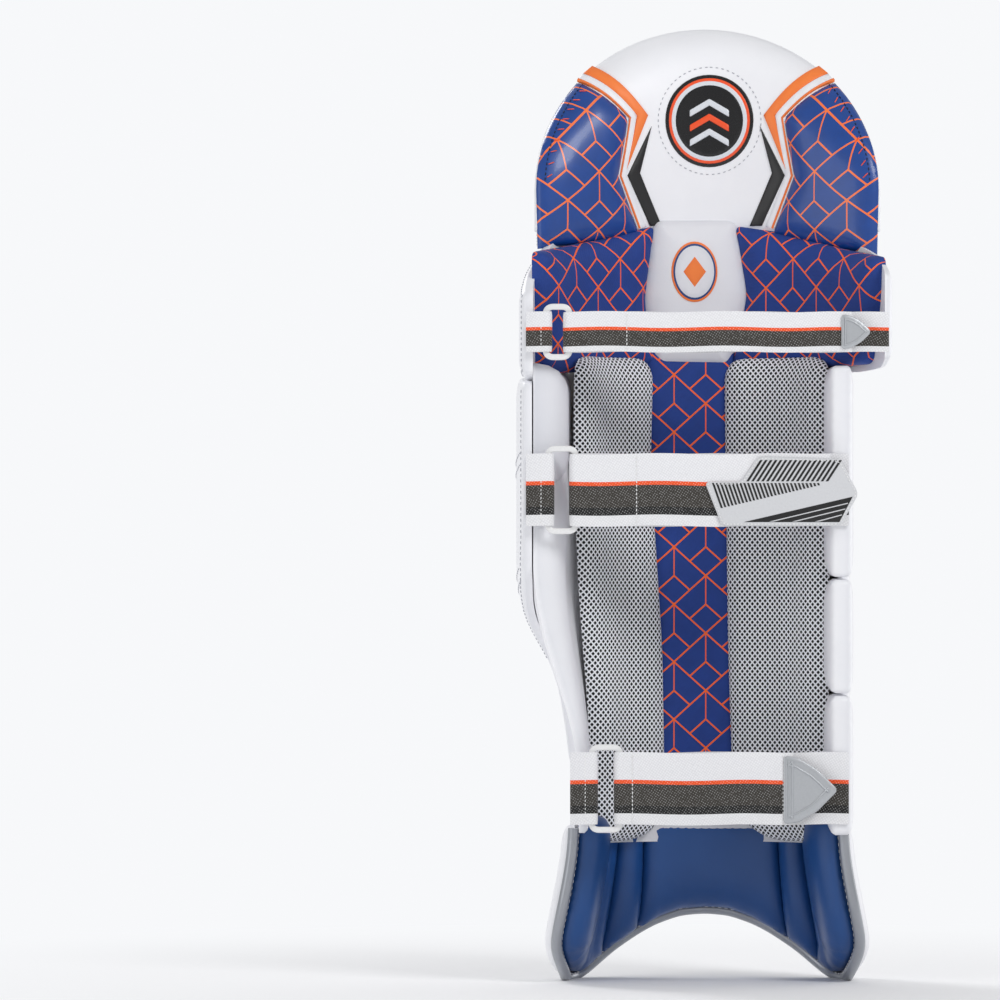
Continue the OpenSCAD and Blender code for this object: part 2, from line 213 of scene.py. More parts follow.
@dataclass(frozen=True)
class PrintedLattice(Finish):
    """Cloth or PU printed with an orange lattice: diamond cells, each split by a Y of lines."""

    name: str
    ground: str
    line: str = "#FF5E1C"
    # A cell's side on the real cloth.
    cell: float = 34 * MM
    line_width: float = 1.3 * MM
    roughness: float = 0.75
    sheen: float = 0.25
    coat: float = 0.0
    # Polyester threads lie about 0.4 mm apart; drawn at 1.4 mm so that the weave shows.
    thread: float = 1.4 * MM

    def shade(self, tree: bpy.types.NodeTree) -> Inputs:
        """Draws the lattice from the cloth's own flat coordinates.

        Args:
            tree: the material's tree.

        Returns:
            The shader's inputs.
        """
        flat = add_node(tree, "UVMap", {"uv_map": "flat"}).outputs["UV"]
        split = add_node(tree, "SeparateXYZ", links={0: flat})
        angle = math.radians(40)
        ends: list[bpy.types.NodeSocket] = []
        for sign in (1, -1):
            across = add_node(tree, "Math", {"operation": "MULTIPLY"},
                {0: split.outputs["X"], 1: sign / (2 * math.cos(angle) * self.cell)})
            both = add_node(tree, "Math", {"operation": "MULTIPLY_ADD"},
                {0: split.outputs["Y"], 1: 1 / (2 * math.sin(angle) * self.cell), 2: across.outputs[0]})
            ends.append(add_node(tree, "Math", {"operation": "FRACT"}, {0: both.outputs[0]}).outputs[0])
        half = self.line_width / self.cell / 2

        def near(value: bpy.types.NodeSocket, target: float) -> bpy.types.NodeSocket:
            """True within half a line of the target."""
            return add_node(tree, "Math", {"operation": "COMPARE"},
                {0: value, 1: target, 2: half}).outputs[0]

        def both_true(a: bpy.types.NodeSocket, b: bpy.types.NodeSocket) -> bpy.types.NodeSocket:
            """True where both are."""
            return add_node(tree, "Math", {"operation": "MULTIPLY"}, {0: a, 1: b}).outputs[0]

        first, second = ends
        marks = [near(first, 0.0), near(first, 1.0), near(second, 0.0), near(second, 1.0)]
        gap = add_node(tree, "Math", {"operation": "SUBTRACT"}, {0: first, 1: second}).outputs[0]
        high = add_node(tree, "Math", {"operation": "GREATER_THAN"}, {0: first, 1: 0.5}).outputs[0]
        low_first = add_node(tree, "Math", {"operation": "LESS_THAN"}, {0: first, 1: 0.5}).outputs[0]
        low_second = add_node(tree, "Math", {"operation": "LESS_THAN"}, {0: second, 1: 0.5}).outputs[0]
        marks.append(both_true(near(gap, 0.0), high))
        marks.append(both_true(near(first, 0.5), low_second))
        marks.append(both_true(near(second, 0.5), low_first))
        total = marks[0]
        for mark in marks[1:]:
            total = add_node(tree, "Math", {"operation": "MAXIMUM"}, {0: total, 1: mark}).outputs[0]
        place = add_node(tree, "TexCoord").outputs["Object"]
        cloud = add_node(tree, "TexNoise", links={"Vector": place, "Scale": 90.0, "Detail": 3.0})
        ground = add_node(tree, "Mix", {"data_type": "RGBA", "blend_type": "MULTIPLY"},
            {0: 0.3, 6: linear(self.ground), 7: cloud.outputs["Fac"]})
        colour = add_node(tree, "Mix", {"data_type": "RGBA"},
            {0: total, 6: ground.outputs[2], 7: linear(self.line)})
        weave = add_node(tree, "TexWave", {"bands_direction": "DIAGONAL"},
            {"Vector": place, "Scale": 1 / self.thread / 3.2, "Distortion": 1.5, "Detail": 1.0})
        bump = add_node(tree, "Bump", links={"Strength": 0.3 if self.coat < 0.1 else 0.04,
            "Distance": 0.25 * MM, "Height": weave.outputs["Fac"]})
        return {"Base Color": colour.outputs[2], "Normal": bump.outputs["Normal"],
            "Roughness": self.roughness, "Sheen Weight": self.sheen, "Coat Weight": self.coat,
            "Coat Roughness": 0.15}


@dataclass(frozen=True)
class SpacerMesh(Finish):
    """Knitted polyester spacer mesh: a pale net with near-black oval holes."""

    name: str
    thread: str = "#F7F8FC"
    hole: str = "#0C0D12"
    # Spacing of the holes on the real mesh.
    pitch: float = 3.3 * MM
    hole_size: float = 0.34

    def shade(self, tree: bpy.types.NodeTree) -> Inputs:
        """Lays the holes out on a lattice turned by half a right angle.

        Args:
            tree: the material's tree.

        Returns:
            The shader's inputs.
        """
        flat = add_node(tree, "UVMap", {"uv_map": "flat"}).outputs["UV"]
        turned = add_node(tree, "Mapping", links={"Vector": flat, "Rotation": (0, 0, math.radians(45)),
            "Scale": (1 / self.pitch, 1 / self.pitch, 1)})
        cell = add_node(tree, "VectorMath", {"operation": "FRACTION"}, {0: turned.outputs[0]})
        middle = add_node(tree, "VectorMath", {"operation": "SUBTRACT"},
            {0: cell.outputs[0], 1: (0.5, 0.5, 0)})
        size = add_node(tree, "VectorMath", {"operation": "ABSOLUTE"}, {0: middle.outputs[0]})
        sides = add_node(tree, "SeparateXYZ", links={0: size.outputs[0]})
        square = add_node(tree, "Math", {"operation": "MAXIMUM"},
            {0: sides.outputs["X"], 1: sides.outputs["Y"]})
        circle = add_node(tree, "VectorMath", {"operation": "LENGTH"}, {0: middle.outputs[0]})
        # Between a square and a circle: the knit pulls each hole's corners round.
        away = add_node(tree, "Mix", links={0: 0.35, 2: square.outputs[0], 3: circle.outputs["Value"]})
        edge = add_node(tree, "MapRange", links={"Value": away.outputs[0],
            "From Min": self.hole_size - 0.04, "From Max": self.hole_size + 0.04})
        colour = add_node(tree, "Mix", {"data_type": "RGBA"},
            {0: edge.outputs["Result"], 6: linear(self.hole), 7: linear(self.thread)})
        bump = add_node(tree, "Bump", links={"Strength": 0.6, "Distance": 0.6 * MM,
            "Height": edge.outputs["Result"]})
        return {"Base Color": colour.outputs[2], "Normal": bump.outputs["Normal"], "Roughness": 0.85,
            "Sheen Weight": 0.1}


@dataclass(frozen=True)
class Webbing(Finish):
    """Woven polyester webbing with stripes along it: matt, with pale flecks in the dark band."""

    name: str
    # Each stripe's upper end as a part of the width from the lower edge, and its colour.
    stripes: tuple[tuple[float, str], ...]
    # The webbing's width, which turns the place across it into metres.
    across: float = 30 * MM
    # Threads of the real twill are about 0.8 mm apart; drawn at 1.7 mm.
    rib: float = 1.7 * MM

    def shade(self, tree: bpy.types.NodeTree) -> Inputs:
        """Colours the stripes by the place across the strap.

        Args:
            tree: the material's tree.

        Returns:
            The shader's inputs.
        """
        flat = add_node(tree, "UVMap", {"uv_map": "flat"}).outputs["UV"]
        split = add_node(tree, "SeparateXYZ", links={0: flat})
        ramp = add_node(tree, "ValToRGB", links={0: split.outputs["Y"]})
        ramp.color_ramp.interpolation = "CONSTANT"
        bounds = [0.0] + [end for end, _ in self.stripes[:-1]]
        while len(ramp.color_ramp.elements) < len(bounds):
            ramp.color_ramp.elements.new(0.5)
        for element, start, (_, code) in zip(ramp.color_ramp.elements, bounds, self.stripes, strict=True):
            element.position = start
            element.color = linear(code)
        grid = add_node(tree, "Mapping", links={"Vector": flat, "Rotation": (0, 0, math.radians(32)),
            "Scale": (1.0, self.across, 1.0)})
        weave = add_node(tree, "TexVoronoi", links={"Vector": grid.outputs[0], "Scale": 1 / self.rib,
            "Randomness": 0.22})
        rib = add_node(tree, "MapRange", links={"Value": weave.outputs["Distance"], "From Min": 0.1,
            "From Max": 0.6, "To Min": 1.0, "To Max": 0.86})
        ribbed = add_node(tree, "Mix", {"data_type": "RGBA", "blend_type": "MULTIPLY"},
            {0: 1.0, 6: ramp.outputs["Color"], 7: rib.outputs["Result"]})
        fleck = add_node(tree, "MapRange", links={"Value": weave.outputs["Distance"], "From Min": 0.14,
            "From Max": 0.3, "To Min": 0.3, "To Max": 0.0})
        colour = add_node(tree, "Mix", {"data_type": "RGBA", "blend_type": "SCREEN"},
            {0: 1.0, 6: ribbed.outputs[2], 7: fleck.outputs["Result"]})
        bump = add_node(tree, "Bump", {"invert": True},
            {"Strength": 0.5, "Distance": 0.3 * MM, "Height": weave.outputs["Distance"]})
        return {"Base Color": colour.outputs[2], "Normal": bump.outputs["Normal"], "Roughness": 0.8,
            "Sheen Weight": 0.15}


@dataclass(frozen=True)
class Moulded(Finish):
    """Injection-moulded nylon, PVC or rubber: an even colour with faint flow marks and a soft highlight."""

    name: str
    colour: str
    roughness: float = 0.35
    metallic: float = 0.0
    ior: float = 1.5
    grain: float = 1.5 * MM
    depth: float = 0.05 * MM

    def shade(self, tree: bpy.types.NodeTree) -> Inputs:
        """Sets a nearly even colour with moulding marks.

        Args:
            tree: the material's tree.

        Returns:
            The shader's inputs.
        """
        place = add_node(tree, "TexCoord").outputs["Object"]
        marks = add_node(tree, "TexNoise", links={"Vector": place, "Scale": 1 / self.grain, "Detail": 3.0})
        tint = tuple(c * 0.86 for c in linear(self.colour)[:3]) + (1.0,)
        colour = add_node(tree, "Mix", {"data_type": "RGBA"},
            {0: marks.outputs["Fac"], 6: linear(self.colour), 7: tint})
        rough = add_node(tree, "MapRange", links={"Value": marks.outputs["Fac"],
            "To Min": self.roughness - 0.05, "To Max": self.roughness + 0.08})
        bump = add_node(tree, "Bump", links={"Strength": 0.4, "Distance": self.depth,
            "Height": marks.outputs["Fac"]})
        return {"Base Color": colour.outputs[2], "Roughness": rough.outputs["Result"],
            "Normal": bump.outputs["Normal"], "Metallic": self.metallic, "IOR": self.ior}


@dataclass(frozen=True)
class PaperSweep(Finish):
    """Seamless studio paper: matt and pale under the object, as bright as the surroundings further out."""

    name: str
    colour: str = "#FAFAFB"
    far: str = "#F5F6F8"

    def shade(self, tree: bpy.types.NodeTree) -> Inputs:
        """Sets an even colour without gloss."""
        return {"Base Color": linear(self.colour), "Roughness": 0.9}

    def cover(self, tree: bpy.types.NodeTree, shader: bpy.types.NodeSocket) -> bpy.types.NodeSocket:
        """Fades the paper into the surroundings by its distance from the middle.

        Args:
            tree: the material's tree.
            shader: the paper's own shader.

        Returns:
            The mixed surface.
        """
        place = add_node(tree, "TexCoord").outputs["Object"]
        away = add_node(tree, "VectorMath", {"operation": "LENGTH"}, {0: place}).outputs["Value"]
        fade = add_node(tree, "MapRange", {"interpolation_type": "SMOOTHSTEP"},
            {"Value": away, "From Min": 0.12, "From Max": 0.85})
        bright = add_node(tree, "Emission", links={"Color": linear(self.far), "Strength": 1.02})
        both = add_node(tree, "MixShader", links={0: fade.outputs["Result"], 1: shader,
            2: bright.outputs["Emission"]})
        return both.outputs["Shader"]


WHITE_PU = PuLeather("pu_leather_white_embossed", "#F9F9FC", "#D3D5DC")
SOFT_WHITE = PuLeather("pu_leather_white_soft", "#EEEEF2", "#BFC2CC", roughness=0.6, wave_depth=1.6 * MM)
DARK_BLUE_PU = PuLeather("pu_leather_dark_blue", "#1D4F90", "#0D2A58", roughness=0.4, wave_depth=1.2 * MM)
SILVER_PU = PuLeather("pu_leather_metallic_silver", "#A7AAB0", "#6E7177", roughness=0.34, coat=0.2,
    metallic=0.6)
ORANGE_PU = PuLeather("pu_film_orange_welded", "#FF8A3C", "#E8622A", roughness=0.45)
BLACK_PU = PuLeather("pu_film_black_welded", "#1B1A1C", "#0B0B0C", roughness=0.4)
GLOSS_BLUE = PrintedLattice("pu_leather_blue_printed_gloss", "#0B479C", "#FF7A38", roughness=0.4, sheen=0.0,
    coat=0.3)
BLUE_CLOTH = PrintedLattice("polyester_blue_printed", "#173F94", "#FF6A22", sheen=0.05)
NET = SpacerMesh("polyester_spacer_mesh")
THREAD = Moulded("polyester_thread_white", "#F6F6F6", roughness=0.6)
GREY_THREAD = Moulded("polyester_thread_grey", "#B9BBC2", roughness=0.6)
RED_THREAD = Moulded("polyester_thread_red", "#C8352A", roughness=0.6)
NAVY_THREAD = Moulded("polyester_thread_navy", "#141B3A", roughness=0.6)
NYLON = Moulded("nylon_white_moulded", "#F4F4F4", roughness=0.3, ior=1.53)
RUBBER = Moulded("pvc_silver_grey_moulded", "#BFC2C6", roughness=0.32, metallic=0.35)
PATCH_GROUND = Moulded("pvc_pale_silver_moulded", "#DCDDE0", roughness=0.3)
BLACK_PRINT = Moulded("ink_black_printed", "#1A1A1B", roughness=0.4)
BADGE_BLACK = Moulded("tpu_black_moulded", "#161618", roughness=0.25)
BADGE_ORANGE = Moulded("tpu_orange_moulded", "#FF5A2A", roughness=0.3)
BADGE_PEARL = Moulded("tpu_pearl_moulded", "#E6EAF0", roughness=0.22)
HOOK_TAPE = Moulded("nylon_hook_tape", "#2A2A2D", roughness=0.85, grain=1.2 * MM, depth=0.8 * MM)
LOOP_PILE = Moulded("nylon_loop_pile", "#E9E9EC", roughness=0.95, grain=1.6 * MM, depth=0.8 * MM)
COTTON = Moulded("cotton_lining_woven", "#E9E9EC", roughness=0.9, grain=1.2 * MM, depth=0.3 * MM)
FOAM = Moulded("polyethylene_foam_cut", "#E6E1D2", roughness=0.9, grain=2.5 * MM, depth=0.4 * MM)
CANE = Moulded("rattan_cane_split", "#CFA765", roughness=0.55, grain=6 * MM, depth=0.3 * MM)
NARROW_STRIPES = ((0.14, "#F2F2F4"), (0.53, "#3A3631"), (0.61, "#FF5A1F"), (1.0, "#F4F4F7"))
WIDE_STRIPES = ((0.15, "#F2F2F4"), (0.26, "#141414"), (0.56, "#3A3631"), (0.615, "#FF5A1F"), (1.0, "#F4F4F7"))
NARROW_WEBBING = Webbing("polyester_webbing_narrow", NARROW_STRIPES)
WIDE_WEBBING = Webbing("polyester_webbing_wide", WIDE_STRIPES, across=54 * MM)


# ---- meshes


def make_mesh(name: str, points: np.ndarray, faces: Sequence[Sequence[int]],
        finish: Finish) -> bpy.types.Object:
    """Makes an object from points and faces, at the frame's origin.

    Args:
        name: the piece's name.
        points: rows of x, y and z in metres.
        faces: index lists.
        finish: what the piece is made of.

    Returns:
        The new object, linked to the scene, smooth apart from sharp edges.
    """
    mesh = bpy.data.meshes.new(name)
    mesh.from_pydata([tuple(map(float, p)) for p in points], [], [tuple(map(int, f)) for f in faces])
    mesh.update()
    mesh.shade_smooth()
    mesh.set_sharp_from_angle(angle=SHARP)
    piece = bpy.data.objects.new(name, mesh)
    bpy.context.scene.collection.objects.link(piece)
    mesh.materials.append(finish.material())
    return piece


def resample(line: Pairs, step: float, closed: bool = False) -> np.ndarray:
    """Spaces points evenly along a line and keeps its corners.

    Args:
        line: corner points.
        step: the wanted spacing.
        closed: whether the last corner joins the first.

    Returns:
        The points, without the repeated first one when closed.
    """
    corners = [np.asarray(p, float) for p in line]
    if closed:
        corners.append(corners[0])
    out: list[np.ndarray] = []
    for a, b in zip(corners, corners[1:], strict=False):
        n = max(1, round(float(np.linalg.norm(b - a)) / step))
        out += [a + (b - a) * i / n for i in range(n)]
    if not closed:
        out.append(corners[-1])
    return np.array(out)


def unit(rows: np.ndarray) -> np.ndarray:
    """Scales each row to a length of 1."""
    return rows / np.maximum(np.linalg.norm(rows, axis=1, keepdims=True), 1e-12)


def sideways(line: np.ndarray) -> np.ndarray:
    """Gives the direction to the left of a flat line at each of its points."""
    d = np.gradient(line, axis=0)
    return unit(np.stack([-d[:, 1], d[:, 0]], axis=1))


def offsets(points: np.ndarray, lines: Sequence[np.ndarray]) -> Iterator[np.ndarray]:
    """Gives each point's offset from the nearest place on one stretch after another.

    Args:
        points: rows of two coordinates.
        lines: polylines as rows of two coordinates.

    Yields:
        One row per point, for each stretch of each line.
    """
    for line in lines:
        for a, b in zip(line, line[1:], strict=False):
            d = b - a
            t = np.clip(((points - a) @ d) / max(float(d @ d), 1e-12), 0, 1)
            yield points - a - t[:, None] * d


def away_from(points: np.ndarray, lines: Sequence[np.ndarray]) -> np.ndarray:
    """Measures how far each point is from the nearest of some lines."""
    return np.minimum.reduce([np.linalg.norm(off, axis=1) for off in offsets(points, lines)])


def toward(points: np.ndarray, lines: Sequence[np.ndarray]) -> np.ndarray:
    """Gives the direction from each point to the nearest place on some lines.

    Args:
        points: rows of two coordinates.
        lines: polylines as rows of two coordinates.

    Returns:
        Unit rows, or zero where the point lies on a line.
    """
    best = np.full(len(points), 1e9)
    way = np.zeros((len(points), 2))
    for off in offsets(points, lines):
        far = np.linalg.norm(off, axis=1)
        near = far < best
        best[near], way[near] = far[near], -off[near]
    return way / np.maximum(best[:, None], 1e-9)


def within(points: np.ndarray, loop: np.ndarray) -> np.ndarray:
    """Tells which points lie inside a closed loop."""
    inside = np.zeros(len(points), bool)
    for (x1, y1), (x2, y2) in zip(loop, np.roll(loop, -1, axis=0), strict=True):
        crosses = (y1 > points[:, 1]) != (y2 > points[:, 1])
        with np.errstate(divide="ignore", invalid="ignore"):
            at = (x2 - x1) * (points[:, 1] - y1) / (y2 - y1) + x1
        inside ^= crosses & (points[:, 0] < at)
    return inside


class Surface:
    """A curved sheet addressed by flat coordinates: u along it and v up it, in metres."""

    facing: float = 1.0

    def place(self, u: np.ndarray, v: np.ndarray) -> np.ndarray:
        """Gives the points at u and v."""
        raise NotImplementedError

    def normal(self, u: np.ndarray, v: np.ndarray) -> np.ndarray:
        """Gives the outward direction at u and v, by small differences.

        Args:
            u: distances along the sheet.
            v: heights.

        Returns:
            Unit rows.
        """
        e = 0.2 * MM
        along = self.place(u + e, v) - self.place(u - e, v)
        up = self.place(u, v + e) - self.place(u, v - e)
        return self.facing * unit(np.cross(along, up))


@dataclass
class Arc(Surface):
    """An upright cylinder about the gutter's centre; u is measured at its own radius."""

    radius: float
    centre_y: float = GUTTER_Y
    facing: float = 1.0

    def place(self, u: np.ndarray, v: np.ndarray) -> np.ndarray:
        """Gives the points at u and v."""
        a = np.asarray(u) / self.radius
        return np.stack([self.radius * np.sin(a), self.centre_y - self.radius * np.cos(a), np.asarray(v)],
            axis=1)

    def u_at(self, x: float) -> float:
        """Gives u for a place seen x to the side of the middle."""
        return self.radius * math.asin(max(-0.9999, min(0.9999, x / self.radius)))


@dataclass
class UpperBack(Surface):
    """The inner face of the upper section, which comes forward to meet the front all round the dome."""

    facing: float = -1.0
    # Turns distance along the sheet into an angle.
    scale: float = 125 * MM
    edge_radius: float = 141.5 * MM
    edge_width: float = 139.5 * MM
    # How much deeper the hollow is than its edge, how fast it gets there, and where its edge runs.
    hollow: float = 29.5 * MM
    ease: float = 14 * MM
    margin: float = 3.5 * MM

    def place(self, u: np.ndarray, v: np.ndarray) -> np.ndarray:
        """Gives the points at u and v."""
        a = np.asarray(u) / self.scale
        x = self.edge_width * np.sin(a)
        v = np.asarray(v, float)
        mid = DOME_MID * MM
        over = np.where(v > mid, np.hypot(x / DOME_WIDE, v - mid), np.abs(x) / DOME_WIDE)
        room = np.maximum(DOME_RADIUS + self.margin - over, 0)
        r = self.edge_radius - self.hollow * (1 - np.exp(-room / self.ease))
        return np.stack([x * r / self.edge_width, GUTTER_Y - r * np.cos(a), v], axis=1)


@dataclass
class Wall(Surface):
    """The shell's outer line: front arc, rounded corner and straight side, with foot flare and wing."""

    depth: float = 0.0
    wing: bool = True
    facing: float = 1.0
    corner: float = math.radians(40)
    corner_radius: float = 32 * MM
    # The foot's flare: how far out, and how high it reaches.
    flare: float = 16 * MM
    flare_height: float = 118 * MM
    # The wing: where it starts along the wall, the run in which it comes out, and how far out it comes.
    wing_start: float = 104 * MM
    wing_run: float = 78 * MM
    wing_out: float = 37 * MM
    # Its back edge turns in again by this part of that distance.
    wing_tuck: float = 0.07

    @property
    def arc_end(self) -> float:
        """Distance along the wall where the corner starts."""
        return SEAM_RADIUS * self.corner

    @property
    def corner_end(self) -> float:
        """Distance along the wall where the straight side starts."""
        return self.arc_end + self.corner_radius * (math.pi / 2 - self.corner)

    def place(self, u: np.ndarray, v: np.ndarray) -> np.ndarray:
        """Gives the points at u and v."""
        u = np.asarray(u, float)
        v = np.asarray(v, float)
        side = np.sign(u)
        s = np.abs(u)
        a = np.minimum(s, self.arc_end) / SEAM_RADIUS
        turn = np.clip((s - self.arc_end) / self.corner_radius, 0, math.pi / 2 - self.corner)
        a = a + turn
        reach = SEAM_RADIUS - self.corner_radius
        on_arc = s <= self.arc_end
        hub_x = np.where(on_arc, 0, reach * math.sin(self.corner))
        hub_y = np.where(on_arc, GUTTER_Y, GUTTER_Y - reach * math.cos(self.corner))
        r = np.where(on_arc, SEAM_RADIUS, self.corner_radius) - self.depth
        run = np.maximum(s - self.corner_end, 0)
        tuck = 0.3 + 0.7 * smooth(v, -4 * MM, 34 * MM)
        out = self.flare * tuck * smooth(s, 55 * MM, 105 * MM) * (1 - smooth(v, 0, self.flare_height))
        x = hub_x + (r + out) * np.sin(a)
        y = hub_y - (r + out * 0.4) * np.cos(a) + run
        if self.wing:
            t = np.clip((s - self.wing_start) / self.wing_run, 0, 1)
            lobe = np.sin(t * math.pi / 2) ** 1.1 - self.wing_tuck * smooth(s, 185 * MM, 216 * MM)
            rise = smooth(v, 150 * MM, 318 * MM)
            x = x + np.where(side > 0, self.wing_out * lobe * rise, 0)
        return np.stack([side * x, y, v], axis=1)


@dataclass
class Quilt:
    """A padded panel: a front that swells between its seams, and a flat back, closed all round."""

    name: str
    surface: Surface
    outline: Pairs
    seams: Sequence[Pairs] = ()
    puff: float = 6 * MM
    width: float = 12 * MM
    back: float = 3 * MM
    lift: float = 0.0
    grid: float = 4.5 * MM
    pucker: float = 0.25 * MM
    pucker_pitch: float = 9 * MM
    extra: Callable[[np.ndarray], np.ndarray] | None = None
    finish: Finish = WHITE_PU
    # How much of the front's swelling the back has too.
    belly: float = 0.0
    taper: Callable[[np.ndarray], np.ndarray] | None = None
    # Whether extra height holds right up to the edge, as for a print on a swollen panel.
    hug: bool = False
    # How far from a seam its puckers reach, and how far the painted crease shade in the leather's colour
    # reaches.
    pucker_reach: float = 5 * MM
    crease_reach: float = 2.2 * MM
    # Rows of points beside each seam, as parts of the width over which the panel swells.
    beside: tuple[float, ...] = (0.07, 0.24, 0.5)
    edges: list[np.ndarray] = field(default_factory=list)

    def __post_init__(self) -> None:
        """Spaces the outline and seams once, for both mesh and heights."""
        loop = resample(self.outline, self.grid * 0.8, closed=True)
        self.edges = [np.vstack([loop, loop[:1]])] + [resample(s, self.grid * 0.8) for s in self.seams]

    def height(self, flat: np.ndarray) -> np.ndarray:
        """Works out how far the front stands off the surface.

        Args:
            flat: rows of u and v.

        Returns:
            One height per row.
        """
        away = away_from(flat, self.edges)
        t = np.clip(away / self.width, 0, 1)
        h = self.puff * np.sqrt(np.maximum(1 - (1 - t) ** 2, 0))
        if self.taper is not None:
            h = h * self.taper(flat)
        # Two waves of different lengths, so that no pucker repeats exactly.
        wave = np.sin(flat[:, 1] * 2 * math.pi / self.pucker_pitch + 2.1 * np.sin(flat[:, 0] * 70))
        wave = wave * (0.6 + 0.4 * np.sin(flat[:, 1] * 37 + flat[:, 0] * 91))
        h = h + self.pucker * wave * np.exp(-away / self.pucker_reach) * smooth(away, 0, 1.5 * MM)
        if self.extra is not None:
            h = h + self.extra(flat) * (1.0 if self.hug else smooth(away, 0, 4 * MM))
        return h + self.lift

    def at(self, flat: np.ndarray, above: float = 0.0) -> np.ndarray:
        """Gives the points on the swollen front over some flat ones."""
        n = self.surface.normal(flat[:, 0], flat[:, 1])
        return self.surface.place(flat[:, 0], flat[:, 1]) + n * (self.height(flat) + above)[:, None]

    def flat_points(self) -> tuple[np.ndarray, list[tuple[int, int]]]:
        """Lays out the points of the panel's flat pattern.

        Returns:
            The points, and the pairs that must stay joined.
        """
        loop = self.edges[0][:-1]
        points = [loop]
        joined = [(i, (i + 1) % len(loop)) for i in range(len(loop))]
        start = len(loop)
        for seam in self.edges[1:]:
            points.append(seam)
            joined += [(start + i, start + i + 1) for i in range(len(seam) - 1)]
            start += len(seam)
        rings = [r * self.width for r in self.beside]
        for line in self.edges:
            side = sideways(line)
            for ring in rings:
                for sign in (1, -1):
                    near = line + sign * ring * side
                    keep = within(near, loop) & (away_from(near, self.edges) > ring * 0.93)
                    points.append(near[keep])
        low, high = loop.min(axis=0), loop.max(axis=0)
        us = np.arange(low[0], high[0], self.grid)
        vs = np.arange(low[1], high[1], self.grid)
        mesh = np.stack(np.meshgrid(us, vs), axis=-1)
        mesh[1::2, :, 0] += self.grid / 2
        inner = mesh.reshape(-1, 2)
        inner = inner[within(inner, loop)]
        inner = inner[away_from(inner, self.edges) > max(rings[-1] + self.grid * 0.45, self.grid * 0.5)]
        points.append(inner)
        return np.vstack(points), joined

    def unrolled(self, flat: np.ndarray) -> np.ndarray:
        """Lays the cloth out flat, with the length that its swelling takes added towards each edge.

        Args:
            flat: rows of u and v.

        Returns:
            Places on the cloth for the front's points and then for the back's.
        """
        away = away_from(flat, self.edges)
        phi = np.linspace(0, math.pi / 2, 65)
        speed = np.hypot(self.width * np.sin(phi), self.puff * np.cos(phi))
        run = np.concatenate([[0], np.cumsum((speed[1:] + speed[:-1]) / 2 * (phi[1] - phi[0]))])
        at = np.arccos(np.clip(1 - away / self.width, 0, 1))
        spare = (run[-1] - np.interp(at, phi, run)) - np.maximum(self.width - away, 0)
        inside = np.clip(away, 0.05 * MM, None)
        way = toward(flat, self.edges)
        edge_way = toward(flat + (np.mean(flat, axis=0) - flat) * 0.004, self.edges)
        way = np.where((inside < 0.2 * MM)[:, None], edge_way, way)
        front = flat + way * spare[:, None]
        return np.vstack([front, front + way * self.back])

    def build(self) -> bpy.types.Object:
        """Makes the panel.

        Returns:
            The piece, with flat coordinates and a crease measure for the painted crease shade stored on it.
        """
        flat, joined = self.flat_points()
        made = delaunay_2d_cdt([Vector(p) for p in flat], joined, [], 0, 1e-5)
        flat = np.array([tuple(p) for p in made[0]])
        faces = np.array([f for f in made[2] if len(f) == 3])
        loop = self.edges[0][:-1]
        faces = faces[within(flat[faces].mean(axis=1), loop)]
        used = np.unique(faces)
        index = np.full(len(flat), -1)
        index[used] = np.arange(len(used))
        flat, faces = flat[used], index[faces]
        top = self.at(flat)
        n = self.surface.normal(flat[:, 0], flat[:, 1])
        swell = self.belly * (self.height(flat) - self.lift)
        if self.hug and self.extra is not None:
            swell = swell - self.extra(flat)
        under = self.surface.place(flat[:, 0], flat[:, 1]) - n * (self.back - self.lift + swell)[:, None]
        # All faces turn the same way on the flat pattern, so that a steep side never turns inside out.
        a, b = flat[faces[:, 1]] - flat[faces[:, 0]], flat[faces[:, 2]] - flat[faces[:, 0]]
        faces = np.where((a[:, 0] * b[:, 1] < a[:, 1] * b[:, 0])[:, None], faces[:, ::-1], faces)
        across = np.cross(top[faces[:, 1]] - top[faces[:, 0]], top[faces[:, 2]] - top[faces[:, 0]])
        if np.sum(across * n[faces[:, 0]]) < 0:
            faces = faces[:, ::-1]
        count = len(flat)
        edges: dict[tuple[int, int], int] = {}
        for f in faces:
            for a, b in zip(f, np.roll(f, -1), strict=True):
                edges[(int(a), int(b))] = edges.get((int(a), int(b)), 0) + 1
        rim = [(a, b) for (a, b) in edges if (b, a) not in edges]
        all_faces = [tuple(f) for f in faces] + [tuple(f[::-1] + count) for f in faces]
        all_faces += [(b, a, a + count, b + count) for a, b in rim]
        piece = make_mesh(self.name, np.vstack([top, under]), all_faces, self.finish)
        mesh = piece.data
        layer = mesh.uv_layers.new(name="flat")
        corner = np.zeros(len(mesh.loops), int)
        mesh.loops.foreach_get("vertex_index", corner)
        both = self.unrolled(flat)
        layer.data.foreach_set("uv", both[corner].astype(np.float32).ravel())
        away = away_from(flat, self.edges)
        # Closeness to edges and seams, which the leather turns into painted crease shade.
        crease = np.exp(-away / self.crease_reach)
        store = mesh.attributes.new("crease", "FLOAT", "POINT")
        store.data.foreach_set("value", np.concatenate([crease, np.zeros(count)]).astype(np.float32))
        return piece


def ribbon(line: Pairs, width: float) -> list[tuple[float, float]]:
    """Turns a line into the outline of a flat ribbon along it.

    Args:
        line: the middle of the ribbon.
        width: its width.

    Returns:
        The outline's corners.
    """
    p = np.array(line, float)
    side = sideways(p)
    loop = np.vstack([p + side * width / 2, (p - side * width / 2)[::-1]])
    return [(float(a), float(b)) for a, b in loop]


